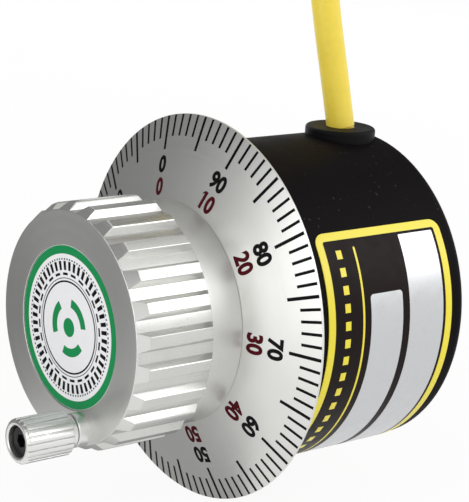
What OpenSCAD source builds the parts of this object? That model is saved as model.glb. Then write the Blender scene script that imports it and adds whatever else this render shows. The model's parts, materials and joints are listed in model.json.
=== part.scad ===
// Panel mounted pulse generator handwheel: a castellated knob with a crank handle turns a
// hundred-division dial, a detent wheel and a slotted disc inside a closed round housing.
// The axis runs along Y, the knob faces -Y, and the origin is where the axis meets the
// face that bears on the rear of the machine panel.

/* [Housing] */
// Outside diameter of the round housing
housing_d = 67.6; // [64:0.2:76]
// Length of the housing behind the panel
housing_len = 39.4; // [39:0.2:48]
// Wall of the cup-shaped rear cover
cover_wall = 1.8; // [1.5:0.1:2.2]
// Round on the rear edge of the cover
cover_round = 2.2; // [1:0.1:4]
// Thickness of the front flange
flange_t = 7; // [6:0.5:9]
// Play between the flange and the cover that slides over it
cover_gap = 0.05; // [0.02:0.01:0.1]

/* [Panel fit] */
// Diameter of the spigot that centres the housing in the panel
spigot_d = 30; // [28:0.5:34]
// Length of the spigot
spigot_len = 3; // [2.5:0.1:3.6]
// Room for the panel between the dial's edge and the housing
panel_room = 4.5; // [4.3:0.1:6]
// Circle through the tapped mounting holes
mount_pcd = 48; // [44:0.5:50]
// Number of tapped mounting holes
mount_count = 3; // [2:1:4]
// Tapping drill of the mounting holes
mount_hole_d = 3.3; // [2.5:0.1:4.2]
// Depth of the mounting holes
mount_hole_depth = 5; // [4:0.5:5.5]

/* [Wheel] */
// Angle that the wheel's zero mark stands at, clockwise from the top
wheel_turn = -18; // [-180:1:180]
// Diameter of the dial
dial_d = 80; // [76:0.5:90]
// Thickness of the dial
dial_t = 1; // [0.8:0.1:1.4]
// How far the dial's cone rises from its edge to the knob
dial_rise = 5.8; // [4:0.1:8]
// Length of the knob in front of the dial
knob_len = 25.5; // [24:0.5:32]
// Diameter of the knob's smooth hub
hub_d = 46; // [44:0.5:48]
// Diameter over the tips of the knob's teeth
tip_d = 49.6; // [49:0.2:52]
// Diameter at the floor of the grooves and at the edge of the knob's face
root_d = 46.8; // [46:0.2:48.4]
// Number of teeth on the knob
tooth_count = 24; // [18:1:30]
// Length of the toothed grip
grip_len = 18; // [14:0.5:20]
// Length of the bevel that cuts the teeth back at the face
tooth_bevel = 2.3; // [1:0.1:4]
// Part of a pitch that a tooth's top takes up
tooth_top = 0.35; // [0.25:0.01:0.45]
// Part of a pitch that a tooth's foot takes up
tooth_foot = 0.63; // [0.5:0.01:0.7]
// Angle from the zero mark to the first tooth
tooth_phase = 10; // [0:1:15]

/* [Face label] */
// Diameter of the round label on the knob
label_d = 32.8; // [26:0.2:32.8]
// Thickness of the labels
label_t = 0.3; // [0.2:0.05:0.35]
// Depth of the recess that the round label lies in
label_recess = 0.4; // [0.35:0.05:0.6]

/* [Crank handle] */
// Distance from the wheel's axis to the handle's axis
crank_r = 20; // [19.9:0.1:20.6]
// Diameter over the handle's ribs
crank_d = 9; // [8.4:0.1:10]
// Length of the handle in front of the knob's face
crank_len = 15; // [14:0.5:22]
// Number of ribs on the handle
rib_count = 20; // [14:1:24]
// Depth of the grooves between the ribs
rib_depth = 0.4; // [0.2:0.05:0.5]
// Diameter of the spindle's collar against the knob
collar_d = 6.8; // [6:0.1:6.8]
// Thickness of the spindle's collar
collar_t = 2.6; // [1.5:0.1:3]
// Diameter of the spindle that the handle turns on
spindle_d = 4.8; // [4.2:0.1:5]
// Bore at the handle's open end
mouth_d = 6.4; // [6.2:0.1:6.8]
// Running play between the handle and its spindle, on the radius
crank_play = 0.05; // [0.02:0.01:0.1]
// Axial play of the handle at each end
crank_float = 0.3; // [0.2:0.05:0.5]

/* [Shaft and bearings] */
// Diameter of the shaft
shaft_d = 8; // [7:0.1:8.5]
// Outside diameter of the bearings
bearing_d = 22; // [21:0.5:23]
// Width of each bearing
bearing_w = 7; // [6:0.5:7.5]
// Number of balls in each bearing
ball_count = 7; // [5:1:7]
// Diameter of the bearing balls
ball_d = 3.96; // [3:0.02:4]
// Play between pieces that are pressed or seated together, on the radius
seat_gap = 0.02; // [0.01:0.01:0.04]
// Diameter of the shaft's shoulder in front of the bearings
shoulder_d = 12; // [11:0.2:12.6]
// Length of the shaft's shoulder
shoulder_len = 6; // [5:0.5:6.5]

/* [Detent] */
// Clicks in one turn, which is also the number of slots in the disc
clicks = 100; // [50:10:120]
// Diameter of the detent wheel
detent_d = 22; // [20:0.5:22]
// Thickness of the detent wheel
detent_w = 3; // [2:0.5:3]
// Diameter of the detent ball
detent_ball_d = 2.5; // [2:0.1:2.8]
// Distance from the detent wheel's teeth to the ball
detent_gap = 0.15; // [0.1:0.05:0.3]

/* [Reader] */
// Diameter of the slotted disc
disc_d = 32; // [28:0.5:33]
// Thickness of the slotted disc
disc_t = 0.5; // [0.3:0.1:0.8]
// Diameter of the circuit board
board_d = 55; // [54:0.5:56]
// Thickness of the circuit board
board_t = 1.6; // [1:0.1:1.8]
// Circle through the posts that carry the board and the cover
post_pcd = 50; // [48:0.5:52]
// Diameter of the posts
post_d = 6; // [5:0.2:6.4]

/* [Cable] */
// Diameter of the cable
cable_d = 6; // [5:0.1:6.4]
// Distance of the cable's axis from the rear end of the housing
outlet_back = 8.4; // [8.4:0.2:9.4]
// Diameter of the grommet's disc
grommet_d = 15; // [13:0.5:15]
// Height that the grommet stands above its flat seat
grommet_h = 2.6; // [2:0.1:3.5]

/* [Hidden] */

round_fn = 96;
small_fn = 32;
eps = 0.01;

// Colours
black = [0.05, 0.05, 0.06];
rubber = [0.08, 0.09, 0.1];
satin = [0.78, 0.78, 0.78];
steel = [0.62, 0.63, 0.65];
brass = [0.78, 0.63, 0.3];
yellow = [0.93, 0.79, 0.16];

// Housing
housing_r = housing_d / 2;
cover_bore_r = housing_r - cover_wall;
flange_r = cover_bore_r - cover_gap;
cover_floor = housing_len - cover_wall;
seal_wire_d = 1.1;
seal_groove_r = flange_r - seal_wire_d;
seal_y = flange_t / 2;

// Bearings
lip_t = 2;
lip_r = bearing_d / 2 - 2;
front_bearing_y = lip_t - spigot_len;
ball_pitch_r = (bearing_d + shaft_d) / 4;
track_r = ball_d / 2 + 0.045;
race_gap = 1.45;
inner_race_r = ball_pitch_r - race_gap;
outer_race_r = ball_pitch_r + race_gap;
cage_half_t = 0.45;
cage_end = 1.1;
pocket_play = 0.12;
spacer_wall = 1.6;
circlip_t = 0.8;
circlip_bite = 0.6;
circlip_land = 1;
bearing_nose_r = spigot_d / 2;

// Wheel stack, from the dial's edge forwards
dial_r = dial_d / 2;
hub_r = hub_d / 2;
tip_r = tip_d / 2;
root_r = root_d / 2;
edge_back = -panel_room;
edge_front = edge_back - dial_t;
dial_seat = edge_front - dial_rise;
knob_face = dial_seat - knob_len;
teeth_end = knob_face + grip_len;
label_floor = knob_face + label_recess;
boss_end = front_bearing_y - shoulder_len;
boss_r = 8;
shaft_r = shaft_d / 2;

// Knob screw, M4 with a low head
knob_screw_d = 4;
knob_head_d = 7;
knob_head_h = 2.8;
knob_head_room = 0.4;
knob_web = 3;
knob_seat = label_floor + knob_head_h + knob_head_room;
shaft_front = knob_seat + knob_web + 0.3;
knob_screw_len = knob_web + 8;

// Dial screws, M2.5 with pan heads
dial_screw_d = 2.5;
dial_screw_head_d = 4.5;
dial_screw_head_h = 1.5;
dial_screw_grip = 5;
dial_screw_r = (boss_r + hub_r) / 2;
dial_screw_count = 3;

// Crank handle
crank_tip = knob_face - crank_len;
crank_r_out = crank_d / 2;
collar_face = knob_face - collar_t;
crank_head_d = 5.5;
crank_head_h = 3;
crank_head_sunk = 1.1;
spindle_end = crank_tip + crank_head_sunk + crank_head_h;
grip_shelf = spindle_end + crank_float;
grip_back = collar_face - crank_float;
neck_r = collar_d / 2;
neck_len = 1.1;
crank_screw_d = 3;
crank_screw_grip = 7;

// Disc, board and posts, from the cover forwards
post_r = post_d / 2;
post_circle_r = post_pcd / 2;
post_count = 3;
post_angle = 60;
upper_post_len = 2.5;
board_back = cover_floor - upper_post_len;
board_front = board_back - board_t;
disc_room = 2.4;
disc_y = board_front - disc_room - disc_t;
hub_face = disc_y;
disc_hub_len = 4;
disc_hub_r = 7;
disc_r = disc_d / 2;
disc_bore_r = 1.6;
disc_screw_d = 3;
disc_head_d = 5.5;
disc_head_h = 1.3;
slot_depth = 2;
reader_w = 8;
reader_gap = 0.6;
reader_wall = 1.5;
reader_in = disc_r - slot_depth - 1.5;
reader_out = disc_r + reader_gap + 2;
shaft_rear = disc_y - 0.1;
chip_len = 9;
chip_w = 6;
chip_t = 1.6;
chip_out = 13;
chip_in = 5;
chip_up = 3;
cover_screw_d = 3;
cover_head_d = 5.8;
cover_head_h = 1.4;
cover_screw_len = 12;

// Detent
hub_room = 0.4;
nose_room = 1.4;
detent_y = disc_y - disc_hub_len - hub_room - detent_w;
detent_mid = detent_y + detent_w / 2;
detent_r = detent_d / 2;
notch_depth = 0.3;
block_room = 0.3;
block_depth = 8.7;
block_over = 1.8;
block_in = bearing_nose_r + block_room;
block_out = block_in + block_depth;
block_half = 5;
block_end = detent_y + detent_w + block_over;
ball_centre = detent_r + detent_gap + detent_ball_d / 2;
nose_r = detent_ball_d / 2 + 1;
nose_in = ball_centre - 0.2;
plunger_r = detent_ball_d / 2 + 0.05;
grub_d = 3;
grub_len = 3.5;
block_screw_d = 2;
block_screw_z = 3.3;
block_screw_x = (block_in + block_out) / 2;
block_head_d = 3.4;
block_head_h = 1.3;
block_screw_grip = 4;
spring_wire_d = 0.4;
spring_turns = 6;
spring_in = ball_centre + detent_ball_d / 2;
spring_out = block_out - grub_len;

// Rear bearing, in front of the detent wheel
bearing_nose_end = detent_y - nose_room;
bearing_end = bearing_nose_end - circlip_land - circlip_t;
rear_bearing_y = bearing_end - bearing_w;

// Cable outlet
outlet_y = housing_len - outlet_back;
cable_r = cable_d / 2;
grommet_r = grommet_d / 2;
outlet_seat = sqrt(housing_r * housing_r - grommet_r * grommet_r);
outlet_hole_r = cable_r + 2;
grommet_top = outlet_seat + grommet_h;
grommet_in_r = outlet_hole_r + 1.4;
grommet_in_top = sqrt(cover_bore_r * cover_bore_r - grommet_in_r * grommet_in_r) - 0.1;
grommet_in_h = 1.5;
grommet_neck_gap = 0.05;
grommet_bore_gap = 0.02;
tie_w = 1.2;
tie_t = 0.9;
tie_top = grommet_in_top - grommet_in_h;
stub_bottom = tie_top - tie_w - 0.3;
socket_w = 9;
socket_h = 6;
socket_depth = 5;
socket_top = stub_bottom - 3;
wire_r = 0.5;

// Housing label, from the angle of its upper end round to the angle of its lower end
label_start = 52;
label_sweep = 150;
label_front = 1.5;
label_width = 34;

// Free cable: chosen points of the lead, then a coil on the level of the dial's lowest point
lead_points = [
    [0, 31, 35.5], [0, 31, 35.5], [0, 31, 35.5], [-1.5, 29.5, 46.5], [-2.5, 27.5, 57], [-4, 26, 69],
    [-6.5, 25.5, 81], [-12.5, 29, 91.5], [-21, 35.5, 98], [-29, 42.5, 99.5], [-36.5, 49, 97.5],
    [-43.5, 55, 91.5], [-48, 59, 83], [-49, 63.5, 72], [-45.5, 64, 57.5], [-44, 66, 43.5], [-42.5, 68, 30],
    [-42, 71, 17], [-44, 75.5, 4.5], [-48, 80.5, -5.5], [-55, 86, -12], [-64.5, 89.5, -16.5],
    [-76, 90, -17.7], [-76, 90, -17.7], [-76, 90, -17.7]
];
lead_sides = 10;
lead_steps = 2;
coil_x = -76;
coil_y = 54;
coil_mean_r = 36;
coil_turns = 1100 / 360;
coil_tie_w = 6;
coil_tie_t = 0.6;
coil_tie_gap = 0.05;
coil_tie_angles = [10, 190];
coil_floor = -dial_r;
coil_bottom = coil_floor + coil_tie_t + coil_tie_gap;
coil_top = coil_bottom + cable_d * (1 + coil_turns);
end_angle = 110;
end_len = 45;
bare_len = 25;
bare_circle_r = 1.4;

// ---- Helpers -------------------------------------------------------------------------

// Solid of revolution about Y from points [radius, y]
module turned(points, fn = round_fn) {
    rotate([-90, 0, 0]) rotate_extrude($fn = fn) polygon(points);
}

// Rod or disc along Y from y0 to y1
module rod_y(r, y0, y1, fn = small_fn) {
    translate([0, y0, 0]) rotate([-90, 0, 0]) cylinder(r = r, h = y1 - y0, $fn = fn);
}

// Outline in the XZ plane, carried along Y from y0 to y1
module plate_y(y0, y1) {
    translate([0, y1, 0]) rotate([90, 0, 0]) linear_extrude(height = y1 - y0) children();
}

// Ring along Y
module ring_y(r0, r1, y0, y1, fn = round_fn) {
    turned([[r0, y0], [r1, y0], [r1, y1], [r0, y1]], fn);
}

// Copies on a circle about Y, clockwise from the top as seen from the knob's side
module on_circle(count, r, start = 0) {
    for (i = [0 : count - 1]) rotate([0, start + i * 360 / count, 0]) translate([0, 0, r]) children();
}

// Pieces that turn with the wheel
module on_wheel() {
    rotate([0, wheel_turn, 0]) children();
}

// Place of the crank's axis, opposite the zero mark
module on_crank() {
    on_wheel() rotate([0, 180, 0]) translate([0, 0, crank_r]) children();
}

// Points of an arc in polygon order
function arc(cx, cy, r, a0, a1, n) = [for (i = [0 : n]) let (a = a0 + (a1 - a0) * i / n) [cx + r * cos(a), cy + r * sin(a)]];

// Points on a circle from [radius, angle] pairs
function polar(pairs) = [for (p = pairs) [p[0] * sin(p[1]), p[0] * cos(p[1])]];

// Hexagon socket, as a flat outline
module hexagon(across) {
    circle(r = across / 2 / cos(30), $fn = 6);
}

// Cylinder-head screw along Y with its head's seat at y = 0 and its head towards -Y
module cap_screw(d, len, head_d, head_h, socket) {
    difference() {
        union() {
            rod_y(head_d / 2, -head_h, 0);
            rod_y(d / 2, -eps, len);
        }
        plate_y(-head_h - eps, -head_h * 0.45) hexagon(socket);
    }
}

// ---- Housing -------------------------------------------------------------------------

module rear_cover() {
    color(black) difference() {
        turned(concat(
            [[0, cover_floor], [cover_bore_r, cover_floor], [cover_bore_r, 0], [housing_r, 0]],
            arc(housing_r - cover_round, housing_len - cover_round, cover_round, 0, 90, 6),
            [[0, housing_len]]
        ));
        translate([0, outlet_y, outlet_seat]) cylinder(r = grommet_r + grommet_neck_gap, h = housing_r, $fn = small_fn * 2);
        translate([0, outlet_y, 0]) cylinder(r = outlet_hole_r, h = housing_r, $fn = small_fn * 2);
        on_circle(post_count, post_circle_r, post_angle) {
            rod_y(cover_screw_d / 2 + seat_gap, cover_floor - eps, housing_len);
            turned([[0, housing_len - cover_head_h], [cover_screw_d / 2 + seat_gap, housing_len - cover_head_h],
                    [cover_head_d / 2, housing_len], [cover_head_d / 2, housing_len + 1], [0, housing_len + 1]], small_fn);
        }
    }
}

module front_flange() {
    color(black) difference() {
        union() {
            difference() {
                ring_y(lip_r, flange_r, 0, flange_t);
                ring_y(seal_groove_r, flange_r + 1, seal_y - seal_wire_d / 2, seal_y + seal_wire_d / 2);
            }
            turned([[lip_r, -spigot_len], [bearing_nose_r, -spigot_len], [bearing_nose_r, bearing_nose_end],
                    [lip_r, bearing_nose_end]]);
        }
        for (y = [front_bearing_y, rear_bearing_y])
            rod_y(bearing_d / 2 + seat_gap, y, y == rear_bearing_y ? bearing_nose_end + 1 : y + bearing_w, round_fn);
        rod_y(bearing_d / 2 + circlip_bite, bearing_end, bearing_end + circlip_t, round_fn);
        on_circle(mount_count, mount_pcd / 2) rod_y(mount_hole_d / 2, -1, mount_hole_depth);
        on_circle(post_count, post_circle_r, post_angle)
            rod_y(cover_screw_d / 2 + seat_gap, flange_t - block_screw_grip, flange_t + 1);
        for (z = [-1, 1]) translate([-block_screw_x, 0, z * block_screw_z])
            rod_y(block_screw_d / 2 + seat_gap, flange_t - block_screw_grip, flange_t + 1);
    }
}

module cover_seal() {
    color(rubber) rotate([-90, 0, 0]) translate([0, 0, seal_y]) rotate_extrude($fn = round_fn)
        translate([flange_r - seal_wire_d / 2 + cover_gap / 2, 0]) circle(d = seal_wire_d - cover_gap, $fn = 16);
}

module shaft_seal() {
    color(rubber) ring_y(shoulder_d / 2 + 0.1, lip_r, -spigot_len + 0.2, front_bearing_y - 0.2);
}

module cover_screws() {
    color(black) on_circle(post_count, post_circle_r, post_angle) difference() {
        union() {
            rod_y(cover_screw_d / 2, housing_len - cover_screw_len, housing_len - cover_head_h + eps);
            turned([[0, housing_len - cover_head_h], [cover_screw_d / 2, housing_len - cover_head_h],
                    [cover_head_d / 2 - 2 * seat_gap, housing_len - 2 * seat_gap], [0, housing_len - 2 * seat_gap]], small_fn);
        }
        plate_y(housing_len - cover_head_h, housing_len + 1) hexagon(2);
    }
}

module lower_posts() {
    color(brass) on_circle(post_count, post_circle_r, post_angle) difference() {
        union() {
            plate_y(flange_t, board_front) hexagon(post_d - 0.6);
            rod_y(cover_screw_d / 2, flange_t - block_screw_grip + 0.4, flange_t + eps);
        }
        rod_y(cover_screw_d / 2 + seat_gap, housing_len - cover_screw_len - 1, board_front + 1);
    }
}

module upper_posts() {
    color(brass) on_circle(post_count, post_circle_r, post_angle)
        ring_y(cover_screw_d / 2 + seat_gap, post_r - 0.3, board_back, cover_floor, small_fn);
}

// ---- Bearings ------------------------------------------------------------------------

module ball_track() {
    rotate_extrude($fn = round_fn) translate([ball_pitch_r, bearing_w / 2]) circle(r = track_r, $fn = small_fn);
}

module bearing_outer(y) {
    color(steel) difference() {
        ring_y(outer_race_r, bearing_d / 2, y, y + bearing_w);
        translate([0, y, 0]) rotate([-90, 0, 0]) ball_track();
    }
}

module bearing_inner(y) {
    color(steel) difference() {
        ring_y(shaft_r, inner_race_r, y, y + bearing_w);
        translate([0, y, 0]) rotate([-90, 0, 0]) ball_track();
    }
}

module ball_cage(y) {
    color(brass) difference() {
        ring_y(ball_pitch_r - cage_half_t, ball_pitch_r + cage_half_t, y + cage_end, y + bearing_w - cage_end);
        translate([0, y + bearing_w / 2, 0]) on_circle(ball_count, ball_pitch_r)
            sphere(r = ball_d / 2 + pocket_play, $fn = small_fn);
    }
}

module bearing_balls(y) {
    color(steel) translate([0, y + bearing_w / 2, 0]) on_circle(ball_count, ball_pitch_r)
        sphere(d = ball_d, $fn = small_fn);
}

module front_bearing_outer() { bearing_outer(front_bearing_y); }
module rear_bearing_outer() { bearing_outer(rear_bearing_y); }
module front_bearing_inner() { bearing_inner(front_bearing_y); }
module rear_bearing_inner() { bearing_inner(rear_bearing_y); }
module front_ball_cage() { ball_cage(front_bearing_y); }
module rear_ball_cage() { ball_cage(rear_bearing_y); }
module front_balls() { bearing_balls(front_bearing_y); }
module rear_balls() { bearing_balls(rear_bearing_y); }

module bearing_circlip() {
    color(steel) difference() {
        ring_y(bearing_d / 2 - 1.2, bearing_d / 2 + circlip_bite - seat_gap, bearing_end, bearing_end + circlip_t);
        translate([0, bearing_end + circlip_t / 2, -bearing_d / 2]) cube([4, 2 * circlip_t, 6], center = true);
    }
}

module bearing_spacer() {
    color(steel) ring_y(shaft_r, shaft_r + spacer_wall, front_bearing_y + bearing_w, rear_bearing_y);
}

// ---- Shaft ---------------------------------------------------------------------------

module shaft() {
    seat_r = shaft_r - seat_gap;
    groove_r = shaft_r - circlip_bite;
    color(steel) difference() {
        turned([
            [0, shaft_front], [seat_r, shaft_front], [seat_r, boss_end], [shoulder_d / 2, boss_end],
            [shoulder_d / 2, front_bearing_y], [seat_r, front_bearing_y], [seat_r, bearing_end],
            [groove_r, bearing_end], [groove_r, bearing_end + circlip_t], [seat_r, bearing_end + circlip_t],
            [seat_r, shaft_rear], [0, shaft_rear]
        ]);
        rod_y(knob_screw_d / 2 + seat_gap, shaft_front - 1, knob_seat + knob_screw_len + 1);
        rod_y(disc_screw_d / 2 + seat_gap, shaft_rear - 6, shaft_rear + 1);
    }
}

module shaft_circlip() {
    color(steel) difference() {
        ring_y(shaft_r - circlip_bite + seat_gap, shaft_r + 1.4, bearing_end, bearing_end + circlip_t);
        translate([0, bearing_end + circlip_t / 2, -shaft_r]) cube([2.4, 2 * circlip_t, 5], center = true);
    }
}

// ---- Detent --------------------------------------------------------------------------

module detent_wheel() {
    pitch = 360 / clicks;
    color(steel) difference() {
        plate_y(detent_y, detent_y + detent_w) polygon(polar([
            for (i = [0 : clicks - 1]) for (p = [[detent_r - notch_depth, 0], [detent_r, 0.5]]) [p[0], (i + p[1]) * pitch]
        ]));
        rod_y(shaft_r, detent_y - 1, detent_y + detent_w + 1);
    }
}

module detent_block() {
    color(satin) difference() {
        union() {
            translate([-block_out, flange_t, -block_half])
                cube([block_out - block_in, block_end - flange_t, 2 * block_half]);
            translate([-block_in - eps, detent_mid, 0]) rotate([0, 90, 0])
                cylinder(r = nose_r, h = block_in - nose_in + eps, $fn = small_fn);
        }
        translate([-block_out - 1, detent_mid, 0]) rotate([0, 90, 0])
            cylinder(r = plunger_r, h = block_out, $fn = small_fn);
        translate([-block_out - 1, detent_mid, 0]) rotate([0, 90, 0])
            cylinder(r = grub_d / 2 + seat_gap, h = grub_len + 1, $fn = small_fn);
        for (z = [-1, 1]) translate([-block_screw_x, 0, z * block_screw_z])
            rod_y(block_screw_d / 2 + seat_gap, flange_t - 1, block_end + 1);
    }
}

module detent_block_screws() {
    color(steel) for (z = [-1, 1]) translate([-block_screw_x, block_end, z * block_screw_z]) rotate([180, 0, 0])
        cap_screw(block_screw_d, block_end - flange_t + block_screw_grip - 0.4, block_head_d, block_head_h, 1.5);
}

module detent_ball() {
    color(steel) translate([-ball_centre, detent_mid, 0]) sphere(d = detent_ball_d, $fn = small_fn);
}

// Point on the spring's centre line, and the helix swept round it
function spring_point(t, r, pitch) = [-spring_in - spring_wire_d / 2 - pitch * t, r * cos(360 * t), r * sin(360 * t)];

module detent_spring() {
    steps = 10;
    sides = 6;
    coil_r = plunger_r - spring_wire_d / 2 - 0.1;
    rings = spring_turns * steps;
    pitch = (spring_out - spring_in - spring_wire_d) / spring_turns;
    color(steel) translate([0, detent_mid, 0]) polyhedron(
        points = [for (i = [0 : rings]) for (j = [0 : sides - 1]) let (
            t = i / steps,
            c = spring_point(t, coil_r, pitch),
            out = [0, cos(360 * t), sin(360 * t)],
            a = 360 * j / sides
        ) c + spring_wire_d / 2 * (cos(a) * out + sin(a) * [1, 0, 0])],
        faces = tube_faces(rings, sides)
    );
}

module detent_grub_screw() {
    color(black) difference() {
        translate([-block_out, detent_mid, 0]) rotate([0, 90, 0]) cylinder(d = grub_d, h = grub_len, $fn = small_fn);
        translate([-block_out - 1, detent_mid, 0]) rotate([0, 90, 0]) linear_extrude(height = 2.4) hexagon(1.5);
    }
}

// ---- Reader and wiring ---------------------------------------------------------------

module disc_hub() {
    color(satin) ring_y(shaft_r, disc_hub_r, hub_face - disc_hub_len, hub_face);
}

module slotted_disc() {
    pitch = 360 / clicks;
    color(steel) difference() {
        plate_y(disc_y, disc_y + disc_t) polygon(polar([
            for (i = [0 : clicks - 1])
                for (p = [[disc_r, -0.25], [disc_r, 0.25], [disc_r - slot_depth, 0.25], [disc_r - slot_depth, 0.75]])
                    [p[0], (i + p[1]) * pitch]
        ]));
        rod_y(disc_bore_r, disc_y - 1, disc_y + disc_t + 1);
    }
}

module disc_screw() {
    color(black) translate([0, disc_y + disc_t, 0]) rotate([180, 0, 0])
        cap_screw(disc_screw_d, disc_t + 5, disc_head_d, disc_head_h, 2);
}

module reader_block() {
    color(black) difference() {
        translate([-reader_w / 2, disc_y - reader_gap - reader_wall, -reader_out])
            cube([reader_w, board_front - disc_y + reader_gap + reader_wall, reader_out - reader_in]);
        translate([-reader_w, disc_y - reader_gap, -disc_r - reader_gap])
            cube([2 * reader_w, disc_t + 2 * reader_gap, disc_r]);
    }
}

module circuit_board() {
    color([0.06, 0.32, 0.18]) difference() {
        rod_y(board_d / 2, board_front, board_back, round_fn);
        on_circle(post_count, post_circle_r, post_angle)
            rod_y(cover_screw_d / 2 + 0.1, board_front - 1, board_back + 1);
    }
}

module board_chips() {
    color(black) {
        translate([-chip_out, board_front - chip_t, chip_up]) cube([chip_len, chip_t, chip_w]);
        translate([chip_in, board_front - chip_t, chip_up]) cube([chip_len - 2, chip_t, chip_w - 1]);
        translate([chip_out, board_front - chip_t, -chip_up - chip_w]) cube([chip_len / 2, chip_t, chip_w]);
    }
}

module wire_socket() {
    color([0.9, 0.89, 0.84]) difference() {
        translate([-socket_w / 2, board_front - socket_depth, socket_top - socket_h])
            cube([socket_w, socket_depth, socket_h]);
        translate([-socket_w / 2 + 0.8, outlet_y - 0.8, socket_top - 2])
            cube([socket_w - 1.6, 1.6, 3]);
    }
}

module inner_wires() {
    for (i = [-2 : 2]) color(i == 0 ? "white" : i < 0 ? "firebrick" : "seagreen")
        translate([i * 2.1 * wire_r, outlet_y, socket_top - 2]) cylinder(r = wire_r, h = stub_bottom - socket_top + 2, $fn = 16);
}

module cable_stub() {
    color(yellow) translate([0, outlet_y, stub_bottom]) cylinder(r = cable_r, h = grommet_top - stub_bottom, $fn = small_fn);
}

module cable_tie() {
    color("white") translate([0, outlet_y, tie_top - tie_w]) difference() {
        cylinder(r = cable_r + tie_t, h = tie_w, $fn = small_fn);
        translate([0, 0, -1]) cylinder(r = cable_r, h = tie_w + 2, $fn = small_fn);
    }
}

module cable_grommet() {
    lip = 0.6;
    color(rubber) translate([0, outlet_y, 0]) rotate_extrude($fn = small_fn * 2) polygon(concat(
        [[cable_r + grommet_bore_gap, grommet_in_top - grommet_in_h], [grommet_in_r - lip, grommet_in_top - grommet_in_h],
         [grommet_in_r, grommet_in_top], [outlet_hole_r - grommet_neck_gap, grommet_in_top],
         [outlet_hole_r - grommet_neck_gap, outlet_seat], [grommet_r, outlet_seat]],
        arc(grommet_r - lip, grommet_top - lip, lip, 0, 90, 4),
        [[cable_r + grommet_bore_gap, grommet_top]]
    ));
}

// Flat outline that a label's ends are cut to, as a sector seen from the knob's side
module sector(r, a0, a1, n) {
    polygon(concat([[0, 0]], polar([for (i = [0 : n]) [r, a0 + (a1 - a0) * i / n]])));
}

module housing_label() {
    color(yellow) intersection() {
        ring_y(housing_r + seat_gap, housing_r + label_t, label_front, label_front + label_width);
        plate_y(label_front - 1, label_front + label_width + 1)
            sector(housing_r * 1.3, label_start, label_start + label_sweep, 12);
    }
}

// ---- Free cable ----------------------------------------------------------------------

// Faces of a closed tube with flat ends
function tube_faces(rings, sides) = concat(
    [[for (j = [0 : sides - 1]) j]],
    [for (i = [0 : rings - 1]) for (j = [0 : sides - 1]) let (k = (j + 1) % sides)
        [i * sides + j, (i + 1) * sides + j, (i + 1) * sides + k, i * sides + k]],
    [[for (j = [sides - 1 : -1 : 0]) rings * sides + j]]
);

// Uniform cubic B-spline through a list of control points
function spline_at(p, i, t) = (
    pow(1 - t, 3) * p[i] + (3 * pow(t, 3) - 6 * t * t + 4) * p[i + 1]
    + (-3 * pow(t, 3) + 3 * t * t + 3 * t + 1) * p[i + 2] + pow(t, 3) * p[i + 3]
) / 6;
function spline(p, steps) = concat(
    [for (i = [0 : len(p) - 4]) for (s = [0 : steps - 1]) if (!(i == 0 && s > 0)) spline_at(p, i, s / steps)],
    [spline_at(p, len(p) - 4, 1)]
);

function unit(v) = v / norm(v);
function heading(p, i) = unit(p[min(i + 1, len(p) - 1)] - p[max(i - 1, 0)]);

// Normals carried along the path without twist
function carried(n, t) = unit(n - (n * t) * t);
function normals(p, i = 0, last = [1, 0, 0]) =
    i == len(p) ? [] : let (n = carried(last, heading(p, i))) concat([n], normals(p, i + 1, n));

module swept_tube(path, r, sides) {
    frames = normals(path);
    polyhedron(
        points = [for (i = [0 : len(path) - 1]) for (j = [0 : sides - 1]) let (
            n = frames[i], b = cross(heading(path, i), n), a = 360 * j / sides
        ) path[i] + r * (cos(a) * n + sin(a) * b)],
        faces = tube_faces(len(path) - 1, sides)
    );
}

module cable_lead() {
    color(yellow) swept_tube(spline(lead_points, lead_steps), cable_r, lead_sides);
}

// Outline round the turns, which lie one on the other
function bundle(grow, n = 6) = let (r = cable_r + grow) concat(
    arc(coil_mean_r, coil_bottom + cable_r, r, 180, 360, n),
    arc(coil_mean_r, coil_top - cable_r, r, 0, 180, n)
);

module cable_coil() {
    color(yellow) translate([coil_x, coil_y, 0]) rotate_extrude($fn = 64) polygon(bundle(0));
}

// Straps round all the turns, which the coil stands on
module coil_ties() {
    sweep = coil_tie_w / coil_mean_r * 180 / PI;
    color(black) for (a = coil_tie_angles) translate([coil_x, coil_y, 0]) rotate([0, 0, a - sweep / 2])
        rotate_extrude(angle = sweep, $fn = 64) difference() {
            polygon(bundle(coil_tie_gap + coil_tie_t));
            polygon(bundle(coil_tie_gap));
        }
}

// The cable's free end leaves the lowest turn along its tangent
module at_cable_end(forward) {
    translate([coil_x, coil_y, coil_bottom + cable_r]) rotate([0, 0, end_angle])
        translate([coil_mean_r, forward, 0]) rotate([-90, 0, 0]) children();
}

module cable_end() {
    color(yellow) at_cable_end(0) cylinder(r = cable_r, h = end_len, $fn = small_fn);
}

module bare_wires() {
    color("gainsboro") at_cable_end(end_len) for (i = [0 : 4]) rotate([0, 0, i * 72])
        translate([bare_circle_r, 0, 0]) cylinder(r = wire_r, h = bare_len, $fn = 16);
}

// ---- Wheel ---------------------------------------------------------------------------

// Toothed outline of the knob: flat groove floors, sloped flanks and flat tops
module tooth_outline() {
    pitch = 360 / tooth_count;
    polygon(polar([
        for (i = [0 : tooth_count - 1])
            for (p = [[root_r, -tooth_foot], [tip_r, -tooth_top], [tip_r, tooth_top], [root_r, tooth_foot]])
                [p[0], tooth_phase + (i + p[1] / 2) * pitch]
    ]));
}

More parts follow.
